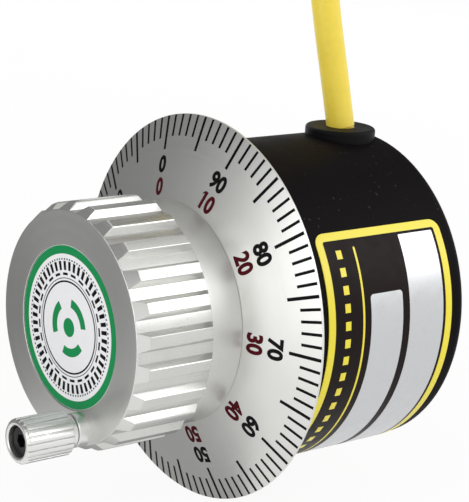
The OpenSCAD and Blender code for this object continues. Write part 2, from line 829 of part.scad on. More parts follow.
module knob() {
    color(satin) on_wheel() difference() {
        union() {
            intersection() {
                plate_y(knob_face, teeth_end) tooth_outline();
                turned([[0, knob_face], [root_r, knob_face], [tip_r + eps, knob_face + tooth_bevel],
                        [tip_r + eps, teeth_end], [0, teeth_end]]);
            }
            rod_y(hub_r, knob_face + tooth_bevel, dial_seat, round_fn);
            rod_y(boss_r, dial_seat - eps, boss_end, round_fn);
        }
        rod_y(label_d / 2 + 0.1, knob_face - 1, label_floor, round_fn);
        rod_y(knob_head_d / 2 + 0.3, knob_face, knob_seat);
        rod_y(knob_screw_d / 2 + 0.2, knob_seat - 1, boss_end);
        rod_y(shaft_r, knob_seat + knob_web, boss_end + 1);
        on_circle(dial_screw_count, dial_screw_r)
            rod_y(dial_screw_d / 2 + seat_gap, dial_seat - dial_screw_grip - 1, dial_seat + 1);
        rotate([0, 180, 0]) translate([0, 0, crank_r])
            rod_y(crank_screw_d / 2 + seat_gap, knob_face - 1, knob_face + crank_screw_grip + 1);
    }
}

module knob_screw() {
    color(black) on_wheel() translate([0, knob_seat, 0])
        cap_screw(knob_screw_d, knob_screw_len, knob_head_d, knob_head_h, 2.5);
}

module face_label() {
    color([0.1, 0.55, 0.33]) on_wheel() rod_y(label_d / 2, label_floor - label_t, label_floor, round_fn);
}

// Shallow cone with a flat centre that the knob's boss passes through
module dial() {
    color(satin) on_wheel() difference() {
        turned([
            [boss_r + seat_gap, dial_seat], [hub_r, dial_seat], [dial_r, edge_front], [dial_r, edge_back],
            [hub_r, dial_seat + dial_t], [boss_r + seat_gap, dial_seat + dial_t]
        ], round_fn * 1.5);
        on_circle(dial_screw_count, dial_screw_r) rod_y(dial_screw_d / 2 + 0.1, dial_seat - 1, edge_back);
    }
}

module dial_screws() {
    color(steel) on_wheel() on_circle(dial_screw_count, dial_screw_r) translate([0, dial_seat + dial_t, 0])
        rotate([180, 0, 0]) cap_screw(dial_screw_d, dial_t + dial_screw_grip, dial_screw_head_d, dial_screw_head_h, 1.5);
}

// ---- Crank handle --------------------------------------------------------------------

module crank_spindle() {
    color(satin) on_crank() turned([
        [crank_screw_d / 2 + seat_gap, spindle_end], [spindle_d / 2, spindle_end], [spindle_d / 2, collar_face],
        [collar_d / 2 - 0.2, collar_face], [collar_d / 2, collar_face + 0.2], [collar_d / 2, knob_face],
        [crank_screw_d / 2 + seat_gap, knob_face]
    ], small_fn * 2);
}

module crank_screw() {
    color(black) on_crank() translate([0, spindle_end, 0])
        cap_screw(crank_screw_d, knob_face - spindle_end + crank_screw_grip, crank_head_d, crank_head_h, 2.5);
}

// Ribbed outline of the handle: wide rounded ribs with narrow grooves between
module rib_outline() {
    pitch = 360 / rib_count;
    polygon(polar([
        for (i = [0 : rib_count - 1])
            for (p = [[crank_r_out - 0.08, -0.36], [crank_r_out, -0.15], [crank_r_out, 0.15], [crank_r_out - 0.08, 0.36],
                      [crank_r_out - rib_depth, 0.5]])
                [p[0], (i + p[1]) * pitch]
    ]));
}

module crank_grip() {
    bevel = 0.5;
    rib_end = grip_back - neck_len;
    color(satin) on_crank() difference() {
        union() {
            intersection() {
                plate_y(crank_tip, rib_end) rib_outline();
                turned([[0, crank_tip], [crank_r_out - bevel, crank_tip], [crank_r_out + eps, crank_tip + bevel],
                        [crank_r_out + eps, rib_end - bevel], [neck_r, rib_end], [0, rib_end]], small_fn * 2);
            }
            rod_y(neck_r, crank_tip + 2 * bevel, grip_back, small_fn * 2);
        }
        rod_y(mouth_d / 2, crank_tip - 1, spindle_end + crank_float);
        rod_y(spindle_d / 2 + crank_play, grip_shelf - 1, grip_back + 1);
    }
}

// ---- Parts ---------------------------------------------------------------------------

rear_cover();
front_flange();
cover_seal();
cover_screws();
lower_posts();
upper_posts();
shaft_seal();
front_bearing_outer();
rear_bearing_outer();
bearing_circlip();
detent_block();
detent_block_screws();
detent_ball();
detent_spring();
detent_grub_screw();
circuit_board();
board_chips();
reader_block();
wire_socket();
inner_wires();
cable_stub();
cable_tie();
cable_grommet();
housing_label();
cable_lead();
cable_coil();
coil_ties();
cable_end();
bare_wires();
front_ball_cage();
front_balls();
rear_ball_cage();
rear_balls();
shaft();
front_bearing_inner();
rear_bearing_inner();
bearing_spacer();
shaft_circlip();
detent_wheel();
disc_hub();
slotted_disc();
disc_screw();
knob();
dial();
dial_screws();
knob_screw();
face_label();
crank_spindle();
crank_screw();
crank_grip();
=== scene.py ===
"""Dressed model of a panel mounted pulse generator handwheel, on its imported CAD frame.

Lengths are metres. The wheel's axis runs along Y, the knob faces -Y and the cable leaves at +Z.
Sizes that belong to one piece are written in millimetres and multiplied by MM.
"""
import json
import logging
import math
from dataclasses import dataclass, field
from enum import Enum
from functools import partial
from typing import Callable, Iterable, Sequence

import bmesh
import bpy
from mathutils import Matrix, Vector


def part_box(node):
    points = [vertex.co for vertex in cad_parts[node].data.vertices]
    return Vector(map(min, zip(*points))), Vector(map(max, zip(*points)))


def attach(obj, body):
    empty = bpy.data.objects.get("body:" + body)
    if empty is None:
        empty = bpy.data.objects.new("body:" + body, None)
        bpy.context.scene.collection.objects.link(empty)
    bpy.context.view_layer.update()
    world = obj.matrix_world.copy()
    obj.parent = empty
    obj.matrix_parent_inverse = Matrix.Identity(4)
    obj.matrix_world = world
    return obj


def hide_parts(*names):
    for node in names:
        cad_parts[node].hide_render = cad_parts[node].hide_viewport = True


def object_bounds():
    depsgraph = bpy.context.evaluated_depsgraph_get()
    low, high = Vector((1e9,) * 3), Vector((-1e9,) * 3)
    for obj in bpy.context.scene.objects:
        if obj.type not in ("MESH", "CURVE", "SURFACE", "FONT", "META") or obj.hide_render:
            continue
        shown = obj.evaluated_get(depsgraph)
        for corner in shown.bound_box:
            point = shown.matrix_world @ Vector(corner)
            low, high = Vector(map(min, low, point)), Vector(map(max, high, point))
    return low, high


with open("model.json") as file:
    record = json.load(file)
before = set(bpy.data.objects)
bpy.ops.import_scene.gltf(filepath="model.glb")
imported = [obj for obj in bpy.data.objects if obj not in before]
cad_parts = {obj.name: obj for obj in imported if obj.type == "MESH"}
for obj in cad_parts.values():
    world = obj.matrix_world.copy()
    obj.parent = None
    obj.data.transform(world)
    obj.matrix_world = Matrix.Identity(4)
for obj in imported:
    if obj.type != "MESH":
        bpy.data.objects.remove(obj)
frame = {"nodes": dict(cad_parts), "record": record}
CAD_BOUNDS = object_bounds()

logging.basicConfig(level=logging.INFO, format="%(levelname)s %(message)s")
LOG = logging.getLogger("handwheel")

MM = 0.001
SHARP_ANGLE = 32.0  # degrees between faces past which their edge stays sharp
WELD_GAP = 1e-7  # metres within which two points of a mesh are one
RING_WELD_GAP = 1e-6  # the same between neighbours round a ring
Colour = tuple[float, float, float]
Point = tuple[float, float, float]
Pair = tuple[float, float]
Profile = Sequence[Pair]
Station = Callable[[float], Pair]


class Body(Enum):
    """Bodies of the frame that pieces ride on."""

    HOUSING = "housing"
    WHEEL = "wheel"
    CRANK = "crank"


class Slot(Enum):
    """Material slots of the record that the scene's own pieces take their finish from."""

    SATIN = "satin_aluminium"
    DIAL = "dial_aluminium"
    TURNED = "turned_steel"
    FACE_PRINT = "face_print"
    LABEL = "label_foil"
    SHEATH = "cable_sheath"
    CORES = "core_insulation"


# ---- Small helpers -----------------------------------------------------------------------


def srgb(code: str) -> Colour:
    """Turn a screen colour into linear light.

    Args:
        code: Six hexadecimal digits, red first.

    Returns:
        The linear red, green and blue.
    """
    def linear(part: str) -> float:
        """Linear value of one two-digit channel."""
        c = int(part, 16) / 255
        return c / 12.92 if c <= 0.04045 else ((c + 0.055) / 1.055) ** 2.4
    return linear(code[0:2]), linear(code[2:4]), linear(code[4:6])


def polar(r: float, angle: float, y: float) -> Vector:
    """Place a point round the wheel's axis.

    Args:
        r: Distance from the axis.
        angle: Degrees clockwise from the top, seen from the front.
        y: Place along the axis.

    Returns:
        The point.
    """
    a = math.radians(angle)
    return Vector((r * math.sin(a), y, r * math.cos(a)))


def spread(start: float, end: float, count: int) -> list[float]:
    """Even steps from start to end, both included."""
    return [start + (end - start) * i / (count - 1) for i in range(count)]


def smooth_step(t: float) -> float:
    """Rise from 0 to 1 with level ends."""
    t = min(1.0, max(0.0, t))
    return t * t * (3 - 2 * t)


def shade(mesh: bpy.types.Mesh, angle: float = SHARP_ANGLE) -> None:
    """Shade a mesh smooth, with edges over the angle kept sharp.

    Args:
        mesh: The mesh to shade.
        angle: Degrees between faces past which their edge stays sharp.
    """
    mesh.polygons.foreach_set("use_smooth", [True] * len(mesh.polygons))
    mesh.set_sharp_from_angle(angle=math.radians(angle))


def place(name: str, mesh: bpy.types.Mesh,
          material: bpy.types.Material | None = None) -> bpy.types.Object:
    """Put a mesh into the scene as an object at the origin.

    Args:
        name: Name of the object.
        mesh: Its mesh, already in place.
        material: A finish for the whole mesh, or None where it has its own.

    Returns:
        The new object.
    """
    piece = bpy.data.objects.new(name, mesh)
    mesh.name = name
    if material is not None:
        mesh.materials.clear()
        mesh.materials.append(material)
    bpy.context.scene.collection.objects.link(piece)
    return piece


def discard(piece: bpy.types.Object) -> None:
    """Remove an object together with its mesh.

    Args:
        piece: The object.
    """
    mesh = piece.data
    bpy.data.objects.remove(piece)
    bpy.data.meshes.remove(mesh)


def mesh_from(build: bmesh.types.BMesh, name: str, angle: float = SHARP_ANGLE,
              recalculate: bool = True) -> bpy.types.Mesh:
    """Turn a bmesh into a shaded mesh.

    Args:
        build: The bmesh, which is freed.
        name: Name of the mesh.
        angle: Degrees past which an edge stays sharp.
        recalculate: Whether the faces are turned outwards first.

    Returns:
        The mesh.
    """
    bmesh.ops.remove_doubles(build, verts=build.verts, dist=WELD_GAP)
    if recalculate:
        bmesh.ops.recalc_face_normals(build, faces=build.faces)
    mesh = bpy.data.meshes.new(name)
    build.to_mesh(mesh)
    build.free()
    shade(mesh, angle)
    return mesh


def lathe(profile: Profile, segments: int) -> bmesh.types.BMesh:
    """Turn a closed profile about the wheel's axis.

    Args:
        profile: Corners as (radius, y), in order round the section.
        segments: Steps in a full turn.

    Returns:
        The turned solid.
    """
    build = bmesh.new()
    rings = []
    for r, y in profile:
        steps = segments if r > WELD_GAP else 1
        rings.append([build.verts.new(polar(r, 360 * i / segments, y)) for i in range(steps)])
    for a, b in zip(rings, rings[1:] + rings[:1]):
        for i in range(segments):
            j = (i + 1) % segments
            corners = [a[i % len(a)], a[j % len(a)], b[j % len(b)], b[i % len(b)]]
            unique = list(dict.fromkeys(corners))
            if len(unique) > 2:
                build.faces.new(unique)
    return build


def bar(sections: Iterable[Sequence[Sequence[float]]]) -> bmesh.types.BMesh:
    """Build a closed bar through a row of four-cornered sections.

    Args:
        sections: The corners of each section, in the same order in all of them.

    Returns:
        The bar, with its faces outwards.
    """
    build = bmesh.new()
    rows = [[build.verts.new(corner) for corner in section] for section in sections]
    for low, high in zip(rows, rows[1:]):
        for i in range(4):
            j = (i + 1) % 4
            build.faces.new((low[i], low[j], high[j], high[i]))
    build.faces.new(rows[0])
    build.faces.new(list(reversed(rows[-1])))
    bmesh.ops.recalc_face_normals(build, faces=build.faces)
    return build


def rounded(points: Profile, radius: float, steps: int) -> list[Pair]:
    """Round the corners of a closed outline.

    Args:
        points: Corners of the outline.
        radius: Radius wanted, cut down where an edge is short.
        steps: Points along each round, less one.

    Returns:
        The rounded outline.
    """
    out: list[Pair] = []
    count = len(points)
    for i, p in enumerate(points):
        here = Vector(p)
        before, after = Vector(points[i - 1]) - here, Vector(points[(i + 1) % count]) - here
        if here.x < WELD_GAP:
            out.append((here.x, here.y))
            continue
        cut = min(radius, before.length * 0.45, after.length * 0.45)
        start, end = here + before.normalized() * cut, here + after.normalized() * cut
        for k in range(steps + 1):
            t = k / steps
            q = start * (1 - t) ** 2 + here * 2 * t * (1 - t) + end * t * t
            out.append((q.x, q.y))
    return out


def joined(name: str, pieces: Sequence[bpy.types.Object]) -> bpy.types.Object:
    """Join several objects at the origin into one, with their materials.

    Args:
        name: Name of the new object.
        pieces: The objects, which are removed.

    Returns:
        The joined object.
    """
    build = bmesh.new()
    materials: list[bpy.types.Material] = []
    for piece in pieces:
        first = len(build.faces)
        build.from_mesh(piece.data)
        build.faces.ensure_lookup_table()
        local = list(piece.data.materials)
        for face in build.faces[first:]:
            material = local[face.material_index]
            if material not in materials:
                materials.append(material)
            face.material_index = materials.index(material)
        discard(piece)
    mesh = bpy.data.meshes.new(name)
    build.to_mesh(mesh)
    build.free()
    shade(mesh)
    for material in materials:
        mesh.materials.append(material)
    return place(name, mesh)


def ride(piece: bpy.types.Object, body: Body, replaces: Iterable[str] = ()) -> bpy.types.Object:
    """Fix a piece to its body, hide the CAD nodes that it stands for, and report it.

    Args:
        piece: The finished piece.
        body: The body that carries it.
        replaces: CAD nodes that it stands for.

    Returns:
        The same piece.
    """
    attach(piece, body.value)
    if replaces:
        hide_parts(*replaces)
    LOG.info("%s rides on %s with %d faces", piece.name, body.value, len(piece.data.polygons))
    return piece


# ---- Node trees --------------------------------------------------------------------------


class Tree:
    """A node tree, to which nodes and links are added."""

    def __init__(self, tree: bpy.types.NodeTree) -> None:
        """Keep the tree, emptied of what it starts with."""
        self.tree = tree
        self.tree.nodes.clear()

    def add(self, kind: str, **settings: object) -> bpy.types.Node:
        """Add a node and set its properties.

        Args:
            kind: Type of the node.
            **settings: Its properties by name.

        Returns:
            The node.
        """
        node = self.tree.nodes.new(kind)
        for key, value in settings.items():
            setattr(node, key, value)
        return node

    def link(self, output: bpy.types.NodeSocket, target: bpy.types.NodeSocket) -> None:
        """Link two sockets."""
        self.tree.links.new(output, target)

    def put(self, target: bpy.types.NodeSocket, value: object) -> None:
        """Link an output to a socket, or set a constant on it.

        Args:
            target: The input socket.
            value: An output socket, or a constant.
        """
        if isinstance(value, bpy.types.NodeSocket):
            self.link(value, target)
        else:
            target.default_value = value

    def glow(self, level: float = 1.0) -> bpy.types.Node:
        """Add a white emission.

        Args:
            level: Its strength, where 1 is white.

        Returns:
            The node.
        """
        node = self.add("ShaderNodeEmission")
        node.inputs["Strength"].default_value = level
        return node

    def seen(self) -> bpy.types.NodeSocket:
        """Tell what is seen, directly or in gloss or glass, from what only gives light.

        Returns:
            An output that is 1 for camera, glossy and transmission rays.
        """
        ray = self.add("ShaderNodeLightPath")
        total = ray.outputs["Is Camera Ray"]
        for kind in ("Is Glossy Ray", "Is Transmission Ray"):
            node = self.add("ShaderNodeMath", operation="ADD", use_clamp=True)
            self.link(total, node.inputs[0])
            self.link(ray.outputs[kind], node.inputs[1])
            total = node.outputs[0]
        return total


def tree_of(owner: bpy.types.Material | bpy.types.World) -> Tree:
    """Give a material or a world an empty node tree.

    Args:
        owner: The material or the world.

    Returns:
        Its tree.
    """
    owner.use_nodes = True
    return Tree(owner.node_tree)


# ---- Finishes ----------------------------------------------------------------------------


NOISE_LOW, NOISE_HIGH = 0.3, 0.7  # the range that most noise values lie in


class Graph(Tree):
    """Node tree of one material round a single Principled shader."""

    def __init__(self, name: str, colour: Colour, roughness: float, metallic: float = 0.0) -> None:
        """Start the tree with its shader and output.

        Args:
            name: Name of the material.
            colour: Linear base colour.
            roughness: Middle roughness.
            metallic: 1 for bare metal, 0 for anything else.
        """
        self.material = bpy.data.materials.new(name)
        self.material.use_nodes = True
        self.material.diffuse_color = (*colour, 1)
        super().__init__(self.material.node_tree)
        self.colour = colour
        self.shader = self.add("ShaderNodeBsdfPrincipled")
        self.link(self.shader.outputs[0], self.add("ShaderNodeOutputMaterial").inputs["Surface"])
        self.set("Base Color", (*colour, 1))
        self.set("Roughness", roughness)
        self.set("Metallic", metallic)

    def set(self, socket: str, value: object) -> None:
        """Set a constant on the shader's own socket."""
        self.shader.inputs[socket].default_value = value

    def sums(self, operation: str, a: object, b: object = 0.0) -> bpy.types.NodeSocket:
        """Add a Math node on two values or outputs.

        Args:
            operation: What the node does.
            a: Its first value.
            b: Its second value, where it takes one.

        Returns:
            The node's output.
        """
        node = self.add("ShaderNodeMath", operation=operation)
        self.put(node.inputs[0], a)
        self.put(node.inputs[1], b)
        return node.outputs[0]

    def coords(self, stretch: Point = (1, 1, 1)) -> bpy.types.NodeSocket:
        """Read object coordinates, stretched along the axes.

        Args:
            stretch: Factor for each axis.

        Returns:
            The coordinates.
        """
        source = self.add("ShaderNodeTexCoord")
        mapping = self.add("ShaderNodeMapping")
        self.put(mapping.inputs["Vector"], source.outputs["Object"])
        self.put(mapping.inputs["Scale"], stretch)
        return mapping.outputs[0]

    def rings(self) -> bpy.types.NodeSocket:
        """Read coordinates for turned marks.

        Returns:
            Distance from the wheel's axis, place along it, and 0.
        """
        split = self.add("ShaderNodeSeparateXYZ")
        self.put(split.inputs[0], self.coords())
        across = self.sums("SQRT", self.sums(
            "ADD", self.sums("MULTIPLY", split.outputs[0], split.outputs[0]),
            self.sums("MULTIPLY", split.outputs[2], split.outputs[2])))
        merge = self.add("ShaderNodeCombineXYZ")
        self.put(merge.inputs[0], across)
        self.put(merge.inputs[1], split.outputs[1])
        return merge.outputs[0]

    def noise(self, where: bpy.types.NodeSocket, scale: float, detail: float = 3,
              rough: float = 0.55) -> bpy.types.NodeSocket:
        """Add noise.

        Args:
            where: Coordinates in metres.
            scale: Cells to the metre.
            detail: Octaves of finer noise.
            rough: Share that each octave has of the one before.

        Returns:
            The noise value, from 0 to 1.
        """
        node = self.add("ShaderNodeTexNoise")
        self.put(node.inputs["Vector"], where)
        self.put(node.inputs["Scale"], scale)
        self.put(node.inputs["Detail"], detail)
        self.put(node.inputs["Roughness"], rough)
        return node.outputs["Fac"]

    def spread(self, value: bpy.types.NodeSocket, low: float, high: float, start: float = NOISE_LOW,
               end: float = NOISE_HIGH) -> bpy.types.NodeSocket:
        """Map a value to another range, clamped.

        Args:
            value: The value.
            low: Result at the start.
            high: Result at the end.
            start: Value that gives the low result.
            end: Value that gives the high result.

        Returns:
            The mapped value.
        """
        node = self.add("ShaderNodeMapRange")
        self.put(node.inputs["Value"], value)
        for key, number in (("From Min", start), ("From Max", end), ("To Min", low), ("To Max", high)):
            self.put(node.inputs[key], number)
        return node.outputs[0]

    def tint(self, value: bpy.types.NodeSocket, low: float, high: float) -> None:
        """Vary the base colour's lightness with a value.

        Args:
            value: The value, whose middle range counts.
            low: Factor at the low end of that range.
            high: Factor at its high end.
        """
        node = self.add("ShaderNodeValToRGB")
        steps = ((NOISE_LOW, low), (NOISE_HIGH, high))
        for element, (position, factor) in zip(node.color_ramp.elements, steps):
            element.position = position
            element.color = (*(min(1.0, c * factor) for c in self.colour), 1)
        self.put(node.inputs[0], value)
        self.put(self.shader.inputs["Base Color"], node.outputs[0])

    def bump(self, height: bpy.types.NodeSocket, depth: float, strength: float = 1.0) -> None:
        """Raise the surface by a height.

        Args:
            height: The height, from 0 to 1.
            depth: Metres that a height of 1 stands for.
            strength: Share of it that shows.
        """
        node = self.add("ShaderNodeBump")
        self.put(node.inputs["Height"], height)
        self.put(node.inputs["Distance"], depth)
        self.put(node.inputs["Strength"], strength)
        self.put(self.shader.inputs["Normal"], node.outputs[0])


@dataclass(frozen=True)
class Finish:
    """A plain surface with fine grain, the base of all finishes."""

    name: str
    colour: Colour
    roughness: float = 0.5
    metallic: float = 0.0
    grain: float = 2500
    grain_depth: float = 0.01 * MM
    mottle: float = 0.05
    roughness_spread: float = 0.06
    specular: float = 0.5
    ior: float = 1.5

    def make(self) -> bpy.types.Material:
        """Build the material.

        Returns:
            The material, ready to assign.
        """
        graph = Graph(self.name, self.colour, self.roughness, self.metallic)
        graph.set("Specular IOR Level", self.specular)
        graph.set("IOR", self.ior)
        self.dress(graph)
        return graph.material

    def stain(self, graph: Graph, value: bpy.types.NodeSocket) -> None:
        """Vary the lightness with a value, by this finish's mottle."""
        graph.tint(value, 1 - self.mottle, 1 + self.mottle)

    def sheen(self, graph: Graph, value: bpy.types.NodeSocket) -> None:
        """Vary the roughness with a value, by this finish's spread."""
        graph.put(graph.shader.inputs["Roughness"], graph.spread(
            value, self.roughness - self.roughness_spread, self.roughness + self.roughness_spread))

    def dress(self, graph: Graph) -> None:
        """Add this finish's own detail to a graph.

        Args:
            graph: The material's graph, which holds its constants already.
        """
        cloud = graph.noise(graph.coords(), self.grain / 12, 2)
        grain = graph.noise(graph.coords(), self.grain, 3)
        self.stain(graph, cloud)
        self.sheen(graph, cloud)
        graph.bump(grain, self.grain_depth, 0.6)


@dataclass(frozen=True)
class TurnedMetal(Finish):
    """Metal with the fine rings that a lathe tool leaves round the wheel's axis."""

    metallic: float = 1.0
    ring_pitch: float = 0.16 * MM
    ring_depth: float = 0.004 * MM
    stain_scale: float = 90
    anisotropy: float = 0.0

    def dress(self, graph: Graph) -> None:
        """Add turned rings, faint staining and an uneven sheen.

        Args:
            graph: The material's graph.
        """
        where = graph.rings()
        rings = graph.noise(where, 1 / self.ring_pitch, 2, 0.6)
        broad = graph.noise(where, 0.12 / self.ring_pitch, 2)
        stain = graph.noise(graph.coords(), self.stain_scale, 4, 0.6)
        self.stain(graph, stain)
        self.sheen(graph, broad)
        graph.bump(rings, self.ring_depth, 0.8)
        if self.anisotropy:
            graph.set("Anisotropic", self.anisotropy)
            tangent = graph.add("ShaderNodeTangent", direction_type="RADIAL", axis="Y")
            graph.put(graph.shader.inputs["Tangent"], tangent.outputs[0])


@dataclass(frozen=True)
class DrawnMetal(Finish):
    """Metal with marks that run along the wheel's axis, as milling and drawing leave them."""

    metallic: float = 1.0
    stretch: float = 0.06
    stain_scale: float = 110

    def dress(self, graph: Graph) -> None:
        """Add long fine marks along Y and a soft stain.

        Args:
            graph: The material's graph.
        """
        marks = graph.noise(graph.coords((1, self.stretch, 1)), self.grain, 3, 0.6)
        stain = graph.noise(graph.coords(), self.stain_scale, 3)
        self.stain(graph, stain)
        self.sheen(graph, marks)
        graph.bump(marks, self.grain_depth, 0.6)


@dataclass(frozen=True)
class Blackened(Finish):
    """Black anodised or oxidised metal: fine matt grain and a few specks of dust."""

    cloud_scale: float = 60
    dust_share: float = 0.45
    dust_range: Pair = (0.74, 0.8)
    dust_factor: float = 4
    dust_lift: float = 0.02

    def dress(self, graph: Graph) -> None:
        """Add grain, cloudy sheen and a few pale specks of dust.

        Args:
            graph: The material's graph.
        """
        where = graph.coords()
        cloud = graph.noise(where, self.cloud_scale, 3)
        grain = graph.noise(where, self.grain, 4, 0.65)
        dust = graph.noise(where, self.grain * self.dust_share, 1, 0.3)
        speck = graph.spread(dust, 0.0, 1.0, *self.dust_range)
        mix = graph.add("ShaderNodeMix", data_type="RGBA")
        graph.put(mix.inputs["Factor"], speck)
        colour_inputs = [s for s in mix.inputs if s.type == "RGBA"]
        graph.put(colour_inputs[0], (*self.colour, 1))
        pale = (min(1.0, c * self.dust_factor + self.dust_lift) for c in self.colour)
        graph.put(colour_inputs[1], (*pale, 1))
        graph.put(graph.shader.inputs["Base Color"], [s for s in mix.outputs if s.type == "RGBA"][0])
        self.sheen(graph, cloud)
        graph.bump(grain, self.grain_depth, 0.7)


@dataclass(frozen=True)
class Print(Finish):
    """Printed film or ink: an even colour with a slightly uneven gloss and a soft orange peel."""

    gloss: float = 0.3
    gloss_roughness: float = 0.22
    peel_scale: float = 420

    def dress(self, graph: Graph) -> None:
        """Add ink mottle, orange peel and a clear top film.

        Args:
            graph: The material's graph.
        """
        where = graph.coords()
        ink = graph.noise(where, self.grain, 3)
        peel = graph.noise(where, self.peel_scale, 2)
        self.stain(graph, ink)
        self.sheen(graph, peel)
        graph.set("Coat Weight", self.gloss)
        graph.set("Coat Roughness", self.gloss_roughness)
        graph.bump(peel, self.grain_depth, 0.5)


@dataclass(frozen=True)
class Sheath(Finish):
    """Cable sheath of soft plastic, with faint bands from its drawing and fine scuffs."""

    band_scale: float = 140
    scuff_scale: float = 900

    def dress(self, graph: Graph) -> None:
        """Add scuffs, faint bands round the run and a waxy sheen.

        Args:
            graph: The material's graph.
        """
        run = graph.add("ShaderNodeAttribute", attribute_name="run")
        along = graph.add("ShaderNodeCombineXYZ")
        graph.put(along.inputs[0], run.outputs["Fac"])
        bands = graph.noise(along.outputs[0], self.band_scale, 2)
        scuff = graph.noise(graph.coords(), self.scuff_scale, 4, 0.65)
        self.stain(graph, graph.sums("MULTIPLY", graph.sums("ADD", bands, scuff), 0.5))
        self.sheen(graph, scuff)
        graph.set("Subsurface Weight", 0.08)
        graph.set("Subsurface Radius", (0.0012, 0.0009, 0.0003))
        graph.set("Subsurface Scale", 1.0)
        graph.bump(scuff, self.grain_depth, 0.6)


@dataclass(frozen=True)
class Woven(Finish):
    """Strap woven from fine threads."""

    thread: float = 0.45 * MM
    unevenness: float = 0.4

    def dress(self, graph: Graph) -> None:
        """Add crossing threads as height and as a lighter crown.

        Args:
            graph: The material's graph.
        """
        heights = []
        for stretch in ((1, 0, 1), (0, 1, 0.6)):
            wave = graph.add("ShaderNodeTexWave", wave_type="BANDS", bands_direction="DIAGONAL")
            graph.put(wave.inputs["Vector"], graph.coords(stretch))
            graph.put(wave.inputs["Scale"], 0.3 / self.thread)
            graph.put(wave.inputs["Distortion"], self.unevenness)
            heights.append(wave.outputs["Fac"])
        weave = graph.sums("MULTIPLY", graph.sums("ADD", heights[0], heights[1]), 0.5)
        self.stain(graph, weave)
        graph.bump(weave, self.grain_depth, 0.8)


@dataclass(frozen=True)
class Circuit(Finish):
    """Green solder mask with faint copper tracks under it."""

    track: float = 1.3 * MM
    track_share: float = 0.04

    def dress(self, graph: Graph) -> None:
        """Add raised tracks and a glossy mask.

        Args:
            graph: The material's graph.
        """
        brick = graph.add("ShaderNodeTexBrick", offset=0.5, squash=1.0)
        turn = graph.add("ShaderNodeMapping")
        source = graph.add("ShaderNodeTexCoord")
        graph.put(turn.inputs["Vector"], source.outputs["Object"])
        graph.put(turn.inputs["Rotation"], (math.radians(90), 0, 0))
        graph.put(brick.inputs["Vector"], turn.outputs[0])
        graph.put(brick.inputs["Scale"], 0.4 / self.track)
        graph.put(brick.inputs["Mortar Size"], self.track_share)
        tracks = graph.spread(brick.outputs["Fac"], NOISE_LOW, NOISE_HIGH, 0.0, 1.0)
        graph.tint(tracks, 1 - self.mottle, 1 + 4 * self.mottle)
        graph.set("Coat Weight", 0.5)
        graph.bump(brick.outputs["Fac"], self.grain_depth, 0.6)


ALUMINIUM = srgb("CFCFCC")
PALE_ALUMINIUM = srgb("DCDCD9")
FINISHES: dict[str, Finish] = {finish.name: finish for finish in (
    DrawnMetal("satin_aluminium", ALUMINIUM, 0.3, mottle=0.04, grain=1600, grain_depth=0.006 * MM),
    TurnedMetal("dial_aluminium", PALE_ALUMINIUM, 0.44, mottle=0.02, anisotropy=0.3, roughness_spread=0.02,
                ring_pitch=0.1 * MM, ring_depth=0.002 * MM),
    TurnedMetal("hub_aluminium", PALE_ALUMINIUM, 0.42, mottle=0.02, roughness_spread=0.03,
                ring_pitch=0.2 * MM, ring_depth=0.003 * MM),
    TurnedMetal("turned_steel", srgb("E6E6E4"), 0.36, mottle=0.03),
    Blackened("black_anodised", srgb("0F0C0E"), 0.5, ior=1.12),
    Blackened("black_steel", srgb("101012"), 0.4, specular=0.3),
    TurnedMetal("zinc_steel", srgb("B4B8BC"), 0.3, mottle=0.07),
    TurnedMetal("ground_steel", srgb("B9BBBD"), 0.2, mottle=0.03),
    TurnedMetal("disc_steel", srgb("A8AAAC"), 0.25, mottle=0.04, ring_pitch=0.3 * MM),
    TurnedMetal("bearing_steel", srgb("BFC1C3"), 0.16, mottle=0.02),
    DrawnMetal("spring_steel", srgb("8F9194"), 0.3),
    TurnedMetal("bare_aluminium", srgb("C4C4C2"), 0.4, mottle=0.05),
    TurnedMetal("brass", srgb("C2A15A"), 0.32, mottle=0.06),
    Finish("seal_rubber", srgb("222324"), 0.6, grain_depth=0.02 * MM),
    Finish("grommet_black", srgb("0E0E10"), 0.5, grain=1500, grain_depth=0.03 * MM, mottle=0.12, ior=1.2),
    Circuit("board_green", srgb("1C5A34"), 0.35, mottle=0.1, grain_depth=0.03 * MM),
    Finish("moulded_black", srgb("202022"), 0.5, grain_depth=0.02 * MM),
    Finish("moulded_cream", srgb("E4E0D0"), 0.45, grain_depth=0.02 * MM),
    Finish("nylon_white", srgb("E2E2DC"), 0.4),
    Finish("core_insulation", srgb("D5D5D0"), 0.4),
    Sheath("cable_sheath", srgb("F4DA4C"), 0.34, grain_depth=0.02 * MM, mottle=0.05),
    Woven("strap_black", srgb("1E1E20"), 0.7, grain_depth=0.12 * MM, mottle=0.35),
    Print("label_foil", srgb("F2E02C"), 0.4, mottle=0.02, grain_depth=0.004 * MM),
    Print("face_print", srgb("058A4C"), 0.45, mottle=0.05, grain_depth=0.004 * MM, gloss=0.0, specular=0.2),
    Print("ink_black", srgb("0B0A0C"), 0.6, mottle=0.1, grain_depth=0.002 * MM, gloss=0.0, specular=0.1),
    Print("ink_red", srgb("4A0310"), 0.6, mottle=0.1, grain_depth=0.002 * MM, gloss=0.0, specular=0.1),
    Print("film_white", srgb("EEEEF0"), 0.38, mottle=0.015, grain_depth=0.004 * MM),
    Print("film_brown", srgb("1A1210"), 0.4, mottle=0.08, grain_depth=0.004 * MM, gloss=0.0, ior=1.18),
    Print("film_silver", srgb("C9CACC"), 0.33, metallic=0.75, mottle=0.02, grain_depth=0.004 * MM,
          gloss=0.1),
    DrawnMetal("copper_strand", srgb("B87A55"), 0.35, grain=5000),
    Finish("core_brown", srgb("6B4026"), 0.4),
    Finish("core_green", srgb("2F8A4A"), 0.4),
    Finish("core_yellow", srgb("E2C93A"), 0.4),
    Finish("core_grey", srgb("8A8C8E"), 0.4),
)}


